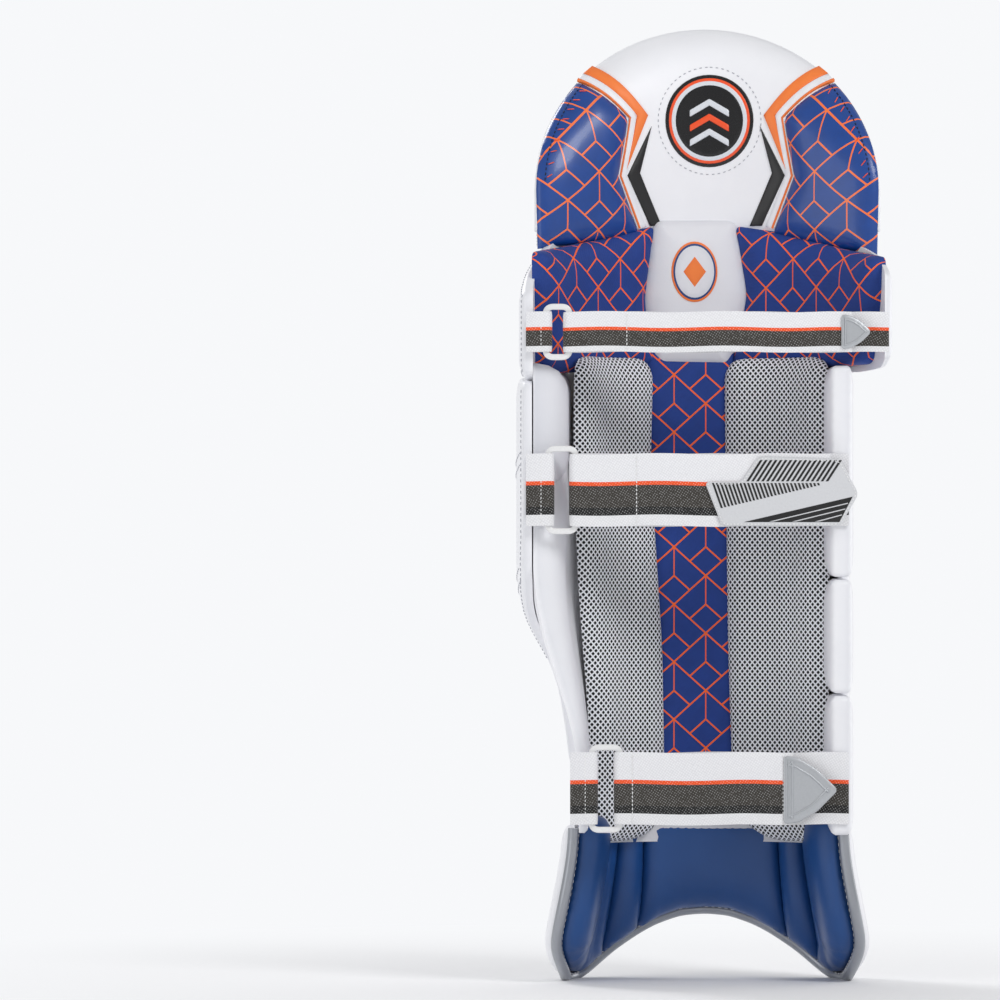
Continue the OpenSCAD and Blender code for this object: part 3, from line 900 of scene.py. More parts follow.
def stitches(name: str, rows: Sequence[Row], finish: Finish = THREAD, length: float = 3.2 * MM,
        pitch: float = 5 * MM, thick: float = 0.45 * MM, slant: float = 0.0) -> bpy.types.Object:
    """Makes rows of real stitches along lines on a surface.

    Args:
        name: the piece's name.
        rows: for each row its points and the surface's directions there.
        finish: the thread.
        length: one stitch's length.
        pitch: spacing of the stitches.
        thick: the thread's radius.
        slant: angle of each stitch to its row, in degrees.

    Returns:
        The piece.
    """
    points: list[np.ndarray] = []
    faces: list[tuple[int, ...]] = []
    sides = 6
    turn = np.arange(sides) * 2 * math.pi / sides
    for line, up in rows:
        step = np.linalg.norm(np.diff(line, axis=0), axis=1)
        run = np.concatenate([[0], np.cumsum(step)])
        for at in np.arange(pitch / 2, run[-1], pitch):
            c = np.array([np.interp(at, run, line[:, k]) for k in range(3)])
            ahead = np.array([np.interp(min(at + MM, run[-1]), run, line[:, k]) for k in range(3)])
            behind = np.array([np.interp(max(at - MM, 0), run, line[:, k]) for k in range(3)])
            n = np.array([np.interp(at, run, up[:, k]) for k in range(3)])
            t = ahead - behind
            t = t / max(np.linalg.norm(t), 1e-9)
            b = np.cross(t, n)
            t = t * math.cos(math.radians(slant)) + b * math.sin(math.radians(slant))
            b = np.cross(t, n)
            first = len(points) * (2 * sides + 2)
            ring = np.cos(turn)[:, None] * b + np.sin(turn)[:, None] * n
            one = [c - t * length / 2 - n * thick * 0.6]
            one += list(c - t * length * 0.32 + ring * thick)
            one += list(c + t * length * 0.32 + ring * thick)
            one.append(c + t * length / 2 - n * thick * 0.6)
            points.append(np.array(one))
            for k in range(sides):
                m = (k + 1) % sides
                faces.append((first, first + 1 + m, first + 1 + k))
                faces.append((first + 1 + k, first + 1 + m, first + 1 + sides + m, first + 1 + sides + k))
                faces.append((first + 1 + sides + k, first + 1 + sides + m, first + 1 + 2 * sides))
    return make_mesh(name, np.vstack(points), faces, finish)


def row_on(quilt: Quilt, line: Pairs, above: float = 0.25 * MM, shift: float = 0.0,
        step: float = 4 * MM) -> Row:
    """Lays a line on a quilt's front, moved sideways if asked.

    Args:
        quilt: the panel.
        line: flat corners of the line.
        above: how far the line stands off the skin.
        shift: how far to the side it lies.
        step: spacing of its points.

    Returns:
        The points and the directions off the surface there.
    """
    flat = resample(line, step)
    flat = flat + sideways(flat) * shift
    return quilt.at(flat, above), quilt.surface.normal(flat[:, 0], flat[:, 1])


def tube(name: str, line: np.ndarray, radius: float, finish: Finish, closed: bool = False,
        sides: int = 10) -> bpy.types.Object:
    """Sweeps a round section along a line.

    Args:
        name: the piece's name.
        line: rows of x, y and z.
        radius: the section's radius.
        finish: what it is made of.
        closed: whether the line is a loop.
        sides: corners of the section.

    Returns:
        The piece.
    """
    section = np.array([[math.cos(a), math.sin(a)] for a in np.arange(sides) * 2 * math.pi / sides]) * radius
    return sweep(name, line, section, finish, closed)


def sweep(name: str, line: np.ndarray, section: np.ndarray, finish: Finish, closed: bool = False,
        up: Sequence[float] | None = None) -> bpy.types.Object:
    """Sweeps a closed section along a line, turning as little as it can.

    Args:
        name: the piece's name.
        line: rows of x, y and z.
        section: rows of sideways and upward offsets.
        finish: what it is made of.
        closed: whether the line is a loop.
        up: a fixed direction for the section's second offset, if there is one.

    Returns:
        The piece.
    """
    n = len(line)
    if closed:
        t = np.roll(line, -1, axis=0) - np.roll(line, 1, axis=0)
    else:
        t = np.gradient(line, axis=0)
    t = unit(t)
    if up is not None:
        side = unit(np.cross(t, np.array(up, float)))
        rise = np.cross(side, t)
    else:
        start = np.cross(t[0], (0.3, 0.2, 0.9))
        side = np.zeros_like(t)
        side[0] = start / np.linalg.norm(start)
        for i in range(1, n):
            s = side[i - 1] - t[i] * float(side[i - 1] @ t[i])
            side[i] = s / max(np.linalg.norm(s), 1e-12)
        rise = np.cross(side, t)
    k = len(section)
    points = line[:, None, :] + section[None, :, :1] * side[:, None, :]
    points = points + section[None, :, 1:] * rise[:, None, :]
    faces: list[tuple[int, ...]] = []
    for i in range(n if closed else n - 1):
        j = (i + 1) % n
        faces += [(i * k + m, i * k + (m + 1) % k, j * k + (m + 1) % k, j * k + m) for m in range(k)]
    if not closed:
        faces.append(tuple(range(k))[::-1])
        faces.append(tuple((n - 1) * k + m for m in range(k)))
    return make_mesh(name, points.reshape(-1, 3), faces, finish)


def settle(piece: bpy.types.Object, nodes: Sequence[str] = (), body: str = "pad") -> bpy.types.Object:
    """Tells the frame what a piece rides on and stands for.

    Args:
        piece: the piece.
        nodes: the CAD nodes that it stands for.
        body: the body that it moves with, or nothing when it is blended.

    Returns:
        The same piece.
    """
    if body:
        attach(piece, body)
    if nodes:
        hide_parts(*nodes)
    LOG.info("%s on %s, for %s", piece.name, body or "two bodies", ", ".join(nodes) or "no node")
    return piece


def inset(line: Pairs, gap: float) -> list[tuple[float, float]]:
    """Moves a line to its left by a gap, such as an edge towards the cloth inside it."""
    p = np.array(line, float)
    return [(float(a), float(b)) for a, b in p + sideways(p) * gap]


def relaxed(line: np.ndarray, rounds: int = 6) -> np.ndarray:
    """Evens out a line by moving each inner point towards its two neighbours.

    Args:
        line: rows of x, y and z.
        rounds: how often the points move.

    Returns:
        The evened line.
    """
    out = line.copy()
    for _ in range(rounds):
        out[1:-1] = (out[:-2] + 2 * out[1:-1] + out[2:]) / 4
    return out


def mirrored(pairs: Pairs, side: int) -> list[tuple[float, float]]:
    """Keeps places as they are for a side of 1, and mirrors them for -1."""
    return [(side * x, z) for x, z in pairs]


def mm(pairs: Pairs) -> list[tuple[float, float]]:
    """Turns pairs of millimetres into metres."""
    return [(a * MM, b * MM) for a, b in pairs]


def rounded(corners: Pairs, cut: float, steps: int = 6) -> list[tuple[float, float]]:
    """Rounds the corners of a closed outline.

    Args:
        corners: the outline's corners.
        cut: how far from each corner its curve starts.
        steps: parts of each curve.

    Returns:
        The outline's points.
    """
    p = [np.array(c, float) for c in corners]
    out: list[tuple[float, float]] = []
    for i, c in enumerate(p):
        a, b = p[i - 1], p[(i + 1) % len(p)]
        da, db = float(np.linalg.norm(a - c)), float(np.linalg.norm(b - c))
        s = c + (a - c) / da * min(cut, 0.45 * da)
        e = c + (b - c) / db * min(cut, 0.45 * db)
        for k in range(steps + 1):
            t = k / steps
            q = (1 - t) ** 2 * s + 2 * t * (1 - t) * c + t * t * e
            out.append((float(q[0]), float(q[1])))
    return out


def find(surface: Surface, x: float, z: float, reach: float = 0.155) -> tuple[float, float]:
    """Finds the flat place of a point that is seen x to the side and z high.

    Args:
        surface: the curved sheet.
        x: distance from the middle, in metres.
        z: height, in metres.
        reach: the furthest that it looks along the sheet.

    Returns:
        The flat place.
    """
    low, high = -reach, reach
    for _ in range(36):
        mid = (low + high) / 2
        if float(surface.place(np.array([mid]), np.array([z]))[0, 0]) < x:
            low = mid
        else:
            high = mid
    return (low + high) / 2, z


def seen(surface: Surface, pairs: Pairs, reach: float = 0.155) -> list[tuple[float, float]]:
    """Turns places seen straight on, in millimetres, into flat places on a surface."""
    return [find(surface, x * MM, z * MM, reach) for x, z in pairs]


@dataclass
class Flat(Surface):
    """An upright plane facing the back, at one depth."""

    y: float
    facing: float = -1.0

    def place(self, u: np.ndarray, v: np.ndarray) -> np.ndarray:
        """Gives the points at u and v."""
        u = np.asarray(u, float)
        return np.stack([u, np.full_like(u, self.y), np.asarray(v, float)], axis=1)


@dataclass
class Lining(Surface):
    """The inner side of the wall, which comes out to meet it along an edge."""

    wall: Wall
    edge: np.ndarray
    thick: float = 20 * MM
    run: float = 12 * MM
    facing: float = -1.0

    def place(self, u: np.ndarray, v: np.ndarray) -> np.ndarray:
        """Gives the points at u and v."""
        u, v = np.asarray(u, float), np.asarray(v, float)
        away = away_from(np.stack([u, v], axis=1), [self.edge])
        depth = 2 * MM + self.thick * (1 - np.exp(-away / self.run))
        return self.wall.place(u, v) - self.wall.normal(u, v) * depth[:, None]


@dataclass
class KneeBack(Surface):
    """The inner face at the knee, which opens outward towards its two ends."""

    radius: float = 118 * MM
    flare: float = 10.5 * MM
    facing: float = -1.0

    def place(self, u: np.ndarray, v: np.ndarray) -> np.ndarray:
        """Gives the points at u and v."""
        a = np.asarray(u, float) / self.radius
        r = self.radius + self.flare * smooth(np.abs(a), math.radians(48), math.radians(88))
        return np.stack([r * np.sin(a), KNEE_Y - r * np.cos(a), np.asarray(v, float)], axis=1)


# ---- sub-assemblies


@dataclass
class Badge:
    """A moulded round badge with a raised rim and three plain chevron bars."""

    name: str
    surface: Surface
    centre: tuple[float, float]
    diameter: float
    node: str
    lift: float = 0.0
    # Evens out a surface whose flat coordinates are wider than the real ones.
    stretch: float = 1.0

    def disc(self, part: str, radius: float, lift: float, puff: float, finish: Finish,
            corners: int = 48) -> Quilt:
        """Makes one layer of the badge.

        Args:
            part: the end of the layer's name.
            radius: its radius.
            lift: how far it stands off the surface.
            puff: its thickness.
            finish: what it is moulded in.
            corners: corners of its outline.

        Returns:
            The layer's panel, not built yet.
        """
        turn = np.arange(corners) * 2 * math.pi / corners
        wide = radius * self.stretch
        line = [(self.centre[0] + wide * math.cos(a), self.centre[1] + radius * math.sin(a)) for a in turn]
        return Quilt(f"{self.name}{part}", self.surface, line, puff=puff, width=1.2 * MM, back=0.5 * MM,
            lift=self.lift + lift, grid=2.5 * MM, pucker=0.0, finish=finish)

    def build(self) -> None:
        """Makes the disc, its rings and its three bars."""
        r = self.diameter / 2
        for part, size, lift, puff, finish in (("", 1.0, 0.0, 1.0, BADGE_BLACK),
                ("_rim", 0.93, 0.5, 0.9, BADGE_ORANGE), ("_pearl", 0.87, 0.8, 1.0, BADGE_PEARL),
                ("_field", 0.78, 1.2, 1.0, BADGE_BLACK)):
            layer = self.disc(part, r * size, lift * MM, puff * MM, finish)
            settle(layer.build(), [] if part else [self.node])
        for row, height in enumerate((0.36, 0.04, -0.28)):
            w, d = r * 0.45 * self.stretch, r * 0.25
            cx, cz = self.centre[0], self.centre[1] + r * height
            line = [(cx - w, cz - d * 0.5), (cx, cz + d * 0.5), (cx + w, cz - d * 0.5)]
            line += [(cx + w, cz - d * 1.1), (cx, cz - d * 0.1), (cx - w, cz - d * 1.1)]
            bar = Quilt(f"{self.name}_bar_{row + 1}", self.surface, line, puff=0.8 * MM, width=1.0 * MM,
                back=0.4 * MM, lift=self.lift + 2.0 * MM, grid=2.5 * MM, pucker=0.0,
                finish=BADGE_ORANGE if row == 1 else BADGE_PEARL)
            settle(bar.build())


@dataclass
class Upper:
    """The domed top: eight quilted channels in front, and three padded panels behind."""

    seams: tuple[float, ...] = (-104.5, -74.0, -38.5, 0.0, 38.6, 75.5, 106.0)
    low: float = 560.0
    # Radii of the dome, in millimetres: its front skin, its inner face and its edging.
    front: float = 124.0
    behind: float = 125.2
    edging: float = 123.4

    def dome(self, radius: float, low: float) -> list[tuple[float, float]]:
        """Gives the dome's outline as seen straight on, in millimetres."""
        turn = np.radians(np.linspace(-90, 90, 41))
        wide = radius * DOME_WIDE
        top = [(wide * math.sin(a), DOME_MID + radius * math.cos(a)) for a in turn]
        return [(-wide, low), *top, (wide, low)]

    def bumps(self, flat: np.ndarray) -> np.ndarray:
        """Adds the arched swelling at the foot of each channel.

        Args:
            flat: rows of u and v.

        Returns:
            Extra heights.
        """
        face = Arc(SEAM_RADIUS)
        edges = np.array([-0.1443, *[face.u_at(x * MM) for x in self.seams], 0.1443])
        k = np.clip(np.searchsorted(edges, flat[:, 0]) - 1, 0, len(edges) - 2)
        middle, half = (edges[k] + edges[k + 1]) / 2, (edges[k + 1] - edges[k]) / 2
        t = np.abs(flat[:, 0] - middle) / half
        top = 612 * MM - 14 * MM * t**2 - 14 * MM * (flat[:, 0] / (117 * MM)) ** 2
        return 7 * MM * smooth(top - flat[:, 1], -4 * MM, 6 * MM) * (1 - np.clip(t, 0, 1) ** 4)

    def build_front(self) -> None:
        """Makes the channelled front, its stitched seams and the corded edge."""
        face = Arc(SEAM_RADIUS)
        tops = [DOME_MID - 1 + math.sqrt(self.front**2 - (x / DOME_WIDE) ** 2) for x in self.seams]
        lines = [seen(face, [(x, self.low), (x, top)]) for x, top in zip(self.seams, tops, strict=True)]
        front = Quilt("upper_front", face, seen(face, self.dome(self.front, self.low)), lines, puff=6 * MM,
            width=13 * MM, back=4 * MM, extra=self.bumps)
        settle(front.build(), ["upper_front"])
        rows = [row_on(front, line, shift=1.5 * MM) for line in lines]
        settle(stitches("upper_front_stitches", rows, GREY_THREAD, 2.2 * MM, 3.6 * MM))
        foam = Arc(136 * MM)
        core = Quilt("upper_core_foam", foam, seen(foam, self.dome(96, 578)), puff=1.5 * MM, width=6 * MM,
            back=9 * MM, finish=FOAM)
        settle(core.build(), ["upper_core"])
        edge = resample(seen(face, self.dome(self.edging, 556)), 3 * MM)
        line = face.place(edge[:, 0], edge[:, 1]) + face.normal(edge[:, 0], edge[:, 1]) * -0.5 * MM
        settle(tube("top_edging", line, 2.6 * MM, WHITE_PU), ["top_edging"])
        up = face.normal(edge[:, 0], edge[:, 1])
        cord = stitches("top_edging_cord", [(line + up * 2.4 * MM, up)], THREAD, 4.6 * MM, 2.4 * MM,
            0.8 * MM, 58)
        settle(cord)

    def side_shape(self, s: int) -> list[tuple[float, float]]:
        """Gives one blue panel's outline as seen straight on, in millimetres."""
        turn = np.radians(np.linspace(90, 49.3, 16))
        wide = self.behind * DOME_WIDE
        edge = [(wide * math.sin(a), DOME_MID + self.behind * math.cos(a)) for a in turn]
        shape = [(wide - 1, 553 if s > 0 else 548), *edge, (60, 653.6), (68, 609.5), (52, 566)]
        return mirrored(shape, s)

    def build_back(self) -> None:
        """Makes the white centre, the blue sides and their trims."""
        face = UpperBack()
        centre = Quilt("upper_back_centre", face, seen(face, self.dome(self.behind, 566)), puff=4 * MM,
            width=14 * MM, back=2 * MM)
        settle(centre.build(), ["upper_back_centre"])
        for s, side in ((1, "left"), (-1, "right")):
            outline = seen(face, self.side_shape(s))
            panel = Quilt(f"upper_back_{side}", face, outline, puff=8 * MM, width=20 * MM, back=1 * MM,
                lift=1.5 * MM, finish=GLOSS_BLUE)
            settle(panel.build(), [f"upper_back_{side}"])
            self.trims(face, s, side)
            edge = seen(face, mirrored(self.side_shape(1)[1:18], s))
            row = row_on(panel, edge[1:-1], 0.3 * MM, shift=s * 5.5 * MM, step=2 * MM)
            zigzag = stitches(f"upper_zigzag_{side}", [row], BADGE_ORANGE, 6.5 * MM, 10 * MM, 0.4 * MM, 55)
            settle(zigzag)
            row = row_on(panel, edge[1:-1], 0.2 * MM, shift=s * 3.2 * MM, step=2 * MM)
            settle(stitches(f"upper_edge_stitches_{side}", [row], NAVY_THREAD, 2.6 * MM, 4 * MM, 0.4 * MM))

    def trims(self, face: Surface, s: int, side: str) -> None:
        """Adds the orange band, white stripe, orange line and black chevron of one side.

        Args:
            face: the surface they lie on.
            s: 1 on the wing's side and -1 on the other.
            side: the side's name.
        """
        stripe = ribbon(mirrored([(95, 682.5), (57.5, 655), (65.8, 610), (50.5, 570)], s), 7)
        line = ribbon(mirrored([(97.4, 680.5), (59.7, 653.6), (67.6, 609.6), (52.5, 570)], s), 1.6)
        band = mirrored([(86, 691), (45.5, 656), (63.2, 613), (54, 655.5), (92.8, 685.3)], s)
        chevron = mirrored([(42.6, 648), (61.8, 610), (44, 572), (34.7, 572), (52, 612)], s)
        for name, shape, finish, lift in (("stripe", stripe, WHITE_PU, 4.2), ("line", line, ORANGE_PU, 5.0),
                ("band", band, ORANGE_PU, 4.6), ("chevron", chevron, BLACK_PU, 4.4)):
            strip = Quilt(f"upper_{name}_{side}", face, seen(face, shape), puff=0.7 * MM, width=1.2 * MM,
                back=2.5 * MM, lift=lift * MM, grid=4 * MM, pucker=0.0, finish=finish)
            settle(strip.build())

    def build(self) -> None:
        """Makes the whole upper section."""
        self.build_front()
        self.build_back()
        face = UpperBack()
        x, z, around = -3.0, 652.0, 40.5
        place = find(face, x * MM, z * MM)
        Badge("upper_badge", face, place, 70 * MM, "upper_badge", lift=4 * MM, stretch=1.12).build()
        ring = [(x + around * math.sin(a), z + around * math.cos(a)) for a in np.linspace(0, 2 * math.pi, 60)]
        flat = np.array(seen(face, ring))
        up = face.normal(flat[:, 0], flat[:, 1])
        line = face.place(flat[:, 0], flat[:, 1]) + up * 4.2 * MM
        settle(stitches("upper_badge_stitches", [(line, up)], GREY_THREAD, 2.4 * MM, 4.4 * MM, 0.35 * MM))


@dataclass
class Knee:
    """The knee: three rolls in front, a wing to one side, and a cup between two bolsters behind."""

    roll_radius: float = 150 * MM
    wing_radius: float = 137 * MM
    side_radius: float = 133 * MM
    # Height of each roll's edge at the middle, and how far it falls at the two ends, in millimetres.
    edges: tuple[tuple[float, float, float], ...] = ((580.0, 21.0, 12.0), (543.5, 20.0, 8.0),
        (515.0, 22.0, 12.0), (473.0, 13.0, 8.0))

    def edge(self, k: int) -> list[tuple[float, float]]:
        """Gives one roll edge from end to end, flat."""
        mid, left, right = self.edges[k]
        out = []
        for a in np.linspace(-48, 49, 28):
            t = a / 48
            out.append((self.roll_radius * math.radians(a), (mid - (left if a < 0 else right) * t * t) * MM))
        return out

    def build_rolls(self) -> None:
        """Makes the three rolls, each its own padded tube, with tufts along it."""
        face = Arc(self.roll_radius, KNEE_Y)
        tufts: list[Row] = []
        red: list[Row] = []
        for k, name in enumerate(("upper", "middle", "lower")):
            top, low = self.edge(k), self.edge(k + 1)
            outline = top + low[::-1]
            width = (top[14][1] - low[14][1]) / 2
            roll = Quilt(f"knee_roll_{name}", face, outline, puff=20 * MM, width=width, back=10 * MM,
                grid=4 * MM, pucker=0.5 * MM, pucker_pitch=14 * MM)
            settle(roll.build(), [f"knee_roll_{name}"])
            for i, a in enumerate((-38, -20, -2, 16, 34)):
                u = self.roll_radius * math.radians(a)
                j = int(np.argmin([abs(p[0] - u) for p in top]))
                v = top[j][1] * 0.55 + low[j][1] * 0.45
                for d in (-4.5, 4.5):
                    row = row_on(roll, [(u + (d - 1.8) * MM, v), (u + (d + 1.8) * MM, v)], step=1 * MM)
                    (red if (i + k) % 3 == 0 and d < 0 else tufts).append(row)
        settle(stitches("knee_tufts", tufts, GREY_THREAD, 2.6 * MM, 3.6 * MM, 0.45 * MM))
        settle(stitches("knee_tufts_marked", red, RED_THREAD, 2.0 * MM, 3.6 * MM, 0.4 * MM))

    def polar(self, radius: float, pairs: Pairs) -> list[tuple[float, float]]:
        """Turns degrees and millimetres of height into flat places."""
        return [(radius * math.radians(a), z * MM) for a, z in pairs]

    def build_sides(self) -> None:
        """Makes the wing beside the rolls and the narrow side panel."""
        shape = [(44, 577), (52, 573), (62, 557), (72, 543), (84, 527), (91, 518), (91, 458), (82, 453),
            (66, 456)]
        shape += [(50, 461), (44, 463)]
        face = Arc(self.wing_radius, KNEE_Y)
        wing = Quilt("knee_wing", face, rounded(self.polar(self.wing_radius, shape), 5 * MM), puff=6 * MM,
            width=16 * MM, back=5 * MM)
        settle(wing.build(), ["knee_wing"])
        rows = [row_on(wing, self.polar(self.wing_radius, shape[1:10]), shift=-3.2 * MM)]
        settle(stitches("knee_wing_stitches", rows, GREY_THREAD, 2.4 * MM, 4 * MM, 0.35 * MM))
        shape = [(-44, 561), (-60, 556), (-76, 546), (-90.5, 532), (-90.5, 470), (-80, 463), (-60, 460),
            (-44, 462)]
        side = Quilt("knee_side", Arc(self.side_radius, KNEE_Y),
            rounded(self.polar(self.side_radius, shape), 5 * MM), puff=4.5 * MM, width=14 * MM, back=2 * MM)
        settle(side.build(), ["knee_side"])
        place = (self.wing_radius * math.radians(66), 510 * MM)
        Badge("knee_badge", face, place, 42 * MM, "knee_badge", lift=5.6 * MM).build()

    def build_back(self) -> None:
        """Makes the cup and the two patterned bolsters."""
        face = KneeBack()
        left = [(39, 573), (80, 561), (108, 554), (127, 549), (126, 462), (110, 459), (70, 463), (39, 466),
            (47, 515)]
        right = [(-22, 573), (-57, 567), (-103, 552), (-127, 545), (-126, 516), (-119, 466), (-80, 463),
            (-20, 465), (-31, 518)]
        for name, shape in (("left", left), ("right", right)):
            bolster = Quilt(f"knee_bolster_{name}", face, rounded(seen(face, shape, 0.182), 7 * MM),
                puff=12 * MM, width=24 * MM, back=6 * MM, pucker=0.9 * MM, pucker_pitch=13 * MM,
                finish=BLUE_CLOTH)
            settle(bolster.build(), [f"knee_bolster_{name}"])
        cup = [(40, 577), (45, 556), (50, 514), (44, 478), (38, 465), (-17, 465), (-27, 484), (-34, 521),
            (-28, 556), (-23, 577)]
        middle = Quilt("knee_cup", face, rounded(seen(face, cup), 7 * MM), puff=15 * MM, width=26 * MM,
            back=8 * MM, pucker=0.9 * MM, pucker_pitch=11 * MM, finish=SOFT_WHITE)
        settle(middle.build(), ["knee_cup"])
        for k, (size, colour) in enumerate(((20, ORANGE_PU), (18.6, DARK_BLUE_PU), (17.2, SOFT_WHITE),
                (10, ORANGE_PU))):
            turn = np.linspace(0, 2 * math.pi, 5 if k == 3 else 41)[:-1]
            ring = [(10 + size * math.sin(a), 537 + size * 1.15 * math.cos(a)) for a in turn]
            flat = seen(face, ring)
            print_on = Quilt(f"knee_cup_print_{k + 1}", face, flat, puff=0.25 * MM, width=1 * MM,
                back=2 * MM, grid=4 * MM, pucker=0.0, finish=colour,
                extra=lambda q: middle.height(q) + (0.5 + 0.3 * k) * MM, hug=True)
            settle(print_on.build())

    def build(self) -> None:
        """Makes the whole knee section."""
        self.build_rolls()
        self.build_sides()
        self.build_back()


@dataclass
class Shin:
    """The shin's channelled face, its wing and the padded rolls along both sides."""

    # Heights between which each seam runs, in millimetres, and its place to the side at the two.
    seam_top: float = 422.0
    seam_low: float = 138.0
    seams: tuple[tuple[float, float], ...] = ((-84.4, -88.9), (-57.0, -62.3), (-25.0, -25.0), (6.8, 14.4),
        (40.3, 49.4), (72.2, 82.0))
    side_start: float = -128 * MM

    @staticmethod
    def foot_line() -> list[tuple[float, float]]:
        """Gives the lower edge from one rear corner, under the arch, to the other, flat."""
        wall = Wall()
        half = [(0, 51), (20, 49.3), (40, 42.5), (55, 34.5), (70, 24.5), (82, 14.5), (92, 6), (99, 2)]
        inner = [find(wall, x * MM, z * MM, 0.12) for x, z in half]
        outer = mm([(112, 0.4), (128, 0.8), (145, 4), (160, 10), (174, 21), (184, 37), (189.5, 58),
            (190, 117)])
        right = inner + outer
        return [(-u, v) for u, v in right[:0:-1]] + right

    def across(self, x_top: float, x_low: float, z: float) -> float:
        """Gives a seam's place to the side at height z, in millimetres."""
        return x_low + (x_top - x_low) * (z - self.seam_low) / (self.seam_top - self.seam_low)

    def bumps(self, flat: np.ndarray) -> np.ndarray:
        """Adds the swelling at the top of each channel, just under the knee rolls.

        Args:
            flat: rows of u and v.

        Returns:
            Extra heights.
        """
        phase = np.abs(np.sin((flat[:, 0] / MM + 90.4) * math.pi / 33.5))
        low = 440 * MM + 10 * MM * (1 - phase)
        return 4.8 * MM * smooth(flat[:, 1] - low, -3 * MM, 8 * MM) * phase

    def build_face(self) -> None:
        """Makes the face with its seams, and the instep panel over its foot."""
        wall = Wall()
        foot = [p for p in inset(self.foot_line(), 3.5 * MM) if self.side_start - 1e-6 <= p[0] <= 112.5 * MM]
        top = [(u * MM, (472 - 12 * (u / 120) ** 2) * MM) for u in np.linspace(114, -128, 24)]
        lines = []
        for k, (high, low) in enumerate(self.seams):
            # The four middle seams stop at the instep panel.
            heights = np.linspace(112 if 1 <= k <= 4 else 14, 469, 14)
            lines.append([find(wall, self.across(high, low, z) * MM, z * MM, 0.125) for z in heights])
        face = Quilt("shin_face", wall, foot + [(114 * MM, 3 * MM)] + top, lines, puff=8 * MM,
            width=15 * MM, back=4 * MM, extra=self.bumps)
        nodes = [f"shin_channel_{i}" for i in range(1, 7)] + ["shin_side_channel"]
        settle(face.build(), nodes)
        rows = [row_on(face, line, shift=1.4 * MM) for line in lines]
        settle(stitches("shin_face_stitches", rows, GREY_THREAD, 2.6 * MM, 4.6 * MM, 0.4 * MM))
        arch = [(x, 51 - (x / 70) ** 2 * 26.5) for x in np.linspace(-69, 54, 16)]
        roof = [(x, 130 - (x + 5) ** 2 / 460) for x in np.linspace(51, -62, 16)]
        shape = [(x, z + 1.5) for x, z in arch] + roof
        panel = Quilt("instep_panel", wall, seen(wall, shape), puff=4.5 * MM, width=9 * MM, back=9 * MM,
            lift=6 * MM)
        settle(panel.build(), ["instep_panel"])
        row = row_on(panel, seen(wall, [(-67, 34), (-62, 118), (-30, 126.5), (-5, 127.5), (20, 126.5),
            (51, 120), (53, 38)]), shift=-2.2 * MM)
        settle(stitches("instep_stitches", [row], GREY_THREAD, 2.6 * MM, 4.4 * MM, 0.4 * MM))
        Badge("instep_badge", wall, find(wall, -5 * MM, 92 * MM), 48 * MM, "instep_badge",
            lift=10.2 * MM).build()

    def build_wing(self) -> None:
        """Makes the wing, its chevrons and the roll in its hollow."""
        wall = Wall()
        shape = mm([(114, 464), (160, 456), (219.5, 452), (219.8, 330), (212, 305), (194, 286), (166, 262),
            (146, 243), (133, 218), (126, 190), (121, 166), (114, 160)])
        wing = Quilt("wing", wall, rounded(shape, 9 * MM), puff=4 * MM, width=16 * MM, back=5 * MM)
        settle(wing.build(), ["wing"])
        rows = []
        for drop in (0, 9, 86, 95, 163, 172):
            reach = 212 if drop < 50 else (205 if drop < 150 else 128)
            line = mm([(117, 399 - drop), (150, 381 - drop), (184, 391 - drop), (reach, 399 - drop)])
            rows.append(row_on(wing, line if drop < 150 else line[:1] + mm([(128, 393 - drop)])))
        rows.append(row_on(wing, mm([(214, 447), (214, 334), (207, 309), (190, 289), (163, 265),
            (142, 243)])))
        settle(stitches("wing_chevrons", rows, GREY_THREAD, 2.8 * MM, 4.2 * MM, 0.35 * MM))
        hollow = Wall(depth=8 * MM, facing=-1.0)
        roll = Quilt("wing_roll", hollow, rounded(mm([(140, 372), (218, 372), (218, 466), (140, 466)]),
            8 * MM), puff=27 * MM, width=25 * MM, back=2 * MM, pucker=1.2 * MM, pucker_pitch=7 * MM,
            finish=SOFT_WHITE)
        settle(roll.build())

    def build_rolls(self) -> None:
        """Makes the padded rolls along both sides, and the sides of the foot."""
        wall = Wall(wing=False)
        for name, low, high in (("upper", 306, 464), ("middle", 219, 304), ("lower", 113, 217)):
            shape = mm([(-127, low), (-127, high), (-219.5, high), (-219.5, low)])
            roll = Quilt(f"side_roll_{name}", wall, rounded(shape, 5 * MM), puff=5 * MM, width=20 * MM,
                back=9 * MM, belly=1.3, pucker=0.5 * MM)
            settle(roll.build(), [f"side_roll_{name}"])
        inner = Wall(depth=10 * MM, facing=-1.0)
        shape = mm([(109, 114), (109, 418), (217, 418), (216, 114)])
        roll = Quilt("ankle_roll", inner, rounded(shape, 9 * MM), puff=24 * MM, width=30 * MM, back=4 * MM,
            pucker=0.5 * MM, taper=lambda q: 0.24 + 0.76 * smooth(q[:, 1], 150 * MM, 330 * MM))
        settle(roll.build(), ["ankle_roll"])
        line = inset(self.foot_line(), 3.5 * MM)
        right = [p for p in line if p[0] > 113 * MM]
        for s, name, start in ((1, "left", 113), (-1, "right", 127.5)):
            low = [(s * u, v) for u, v in right if u > start * MM]
            shape = [(s * start * MM, 4 * MM), *low, (s * start * MM, 117 * MM)]
            lobe = Quilt(f"instep_lobe_{name}", wall, shape, puff=6 * MM, width=15 * MM, back=3 * MM)
            settle(lobe.build(), [f"instep_lobe_{name}"])

    def build(self) -> None:
        """Makes the whole shin section."""
        self.build_face()
        self.build_wing()
        self.build_rolls()


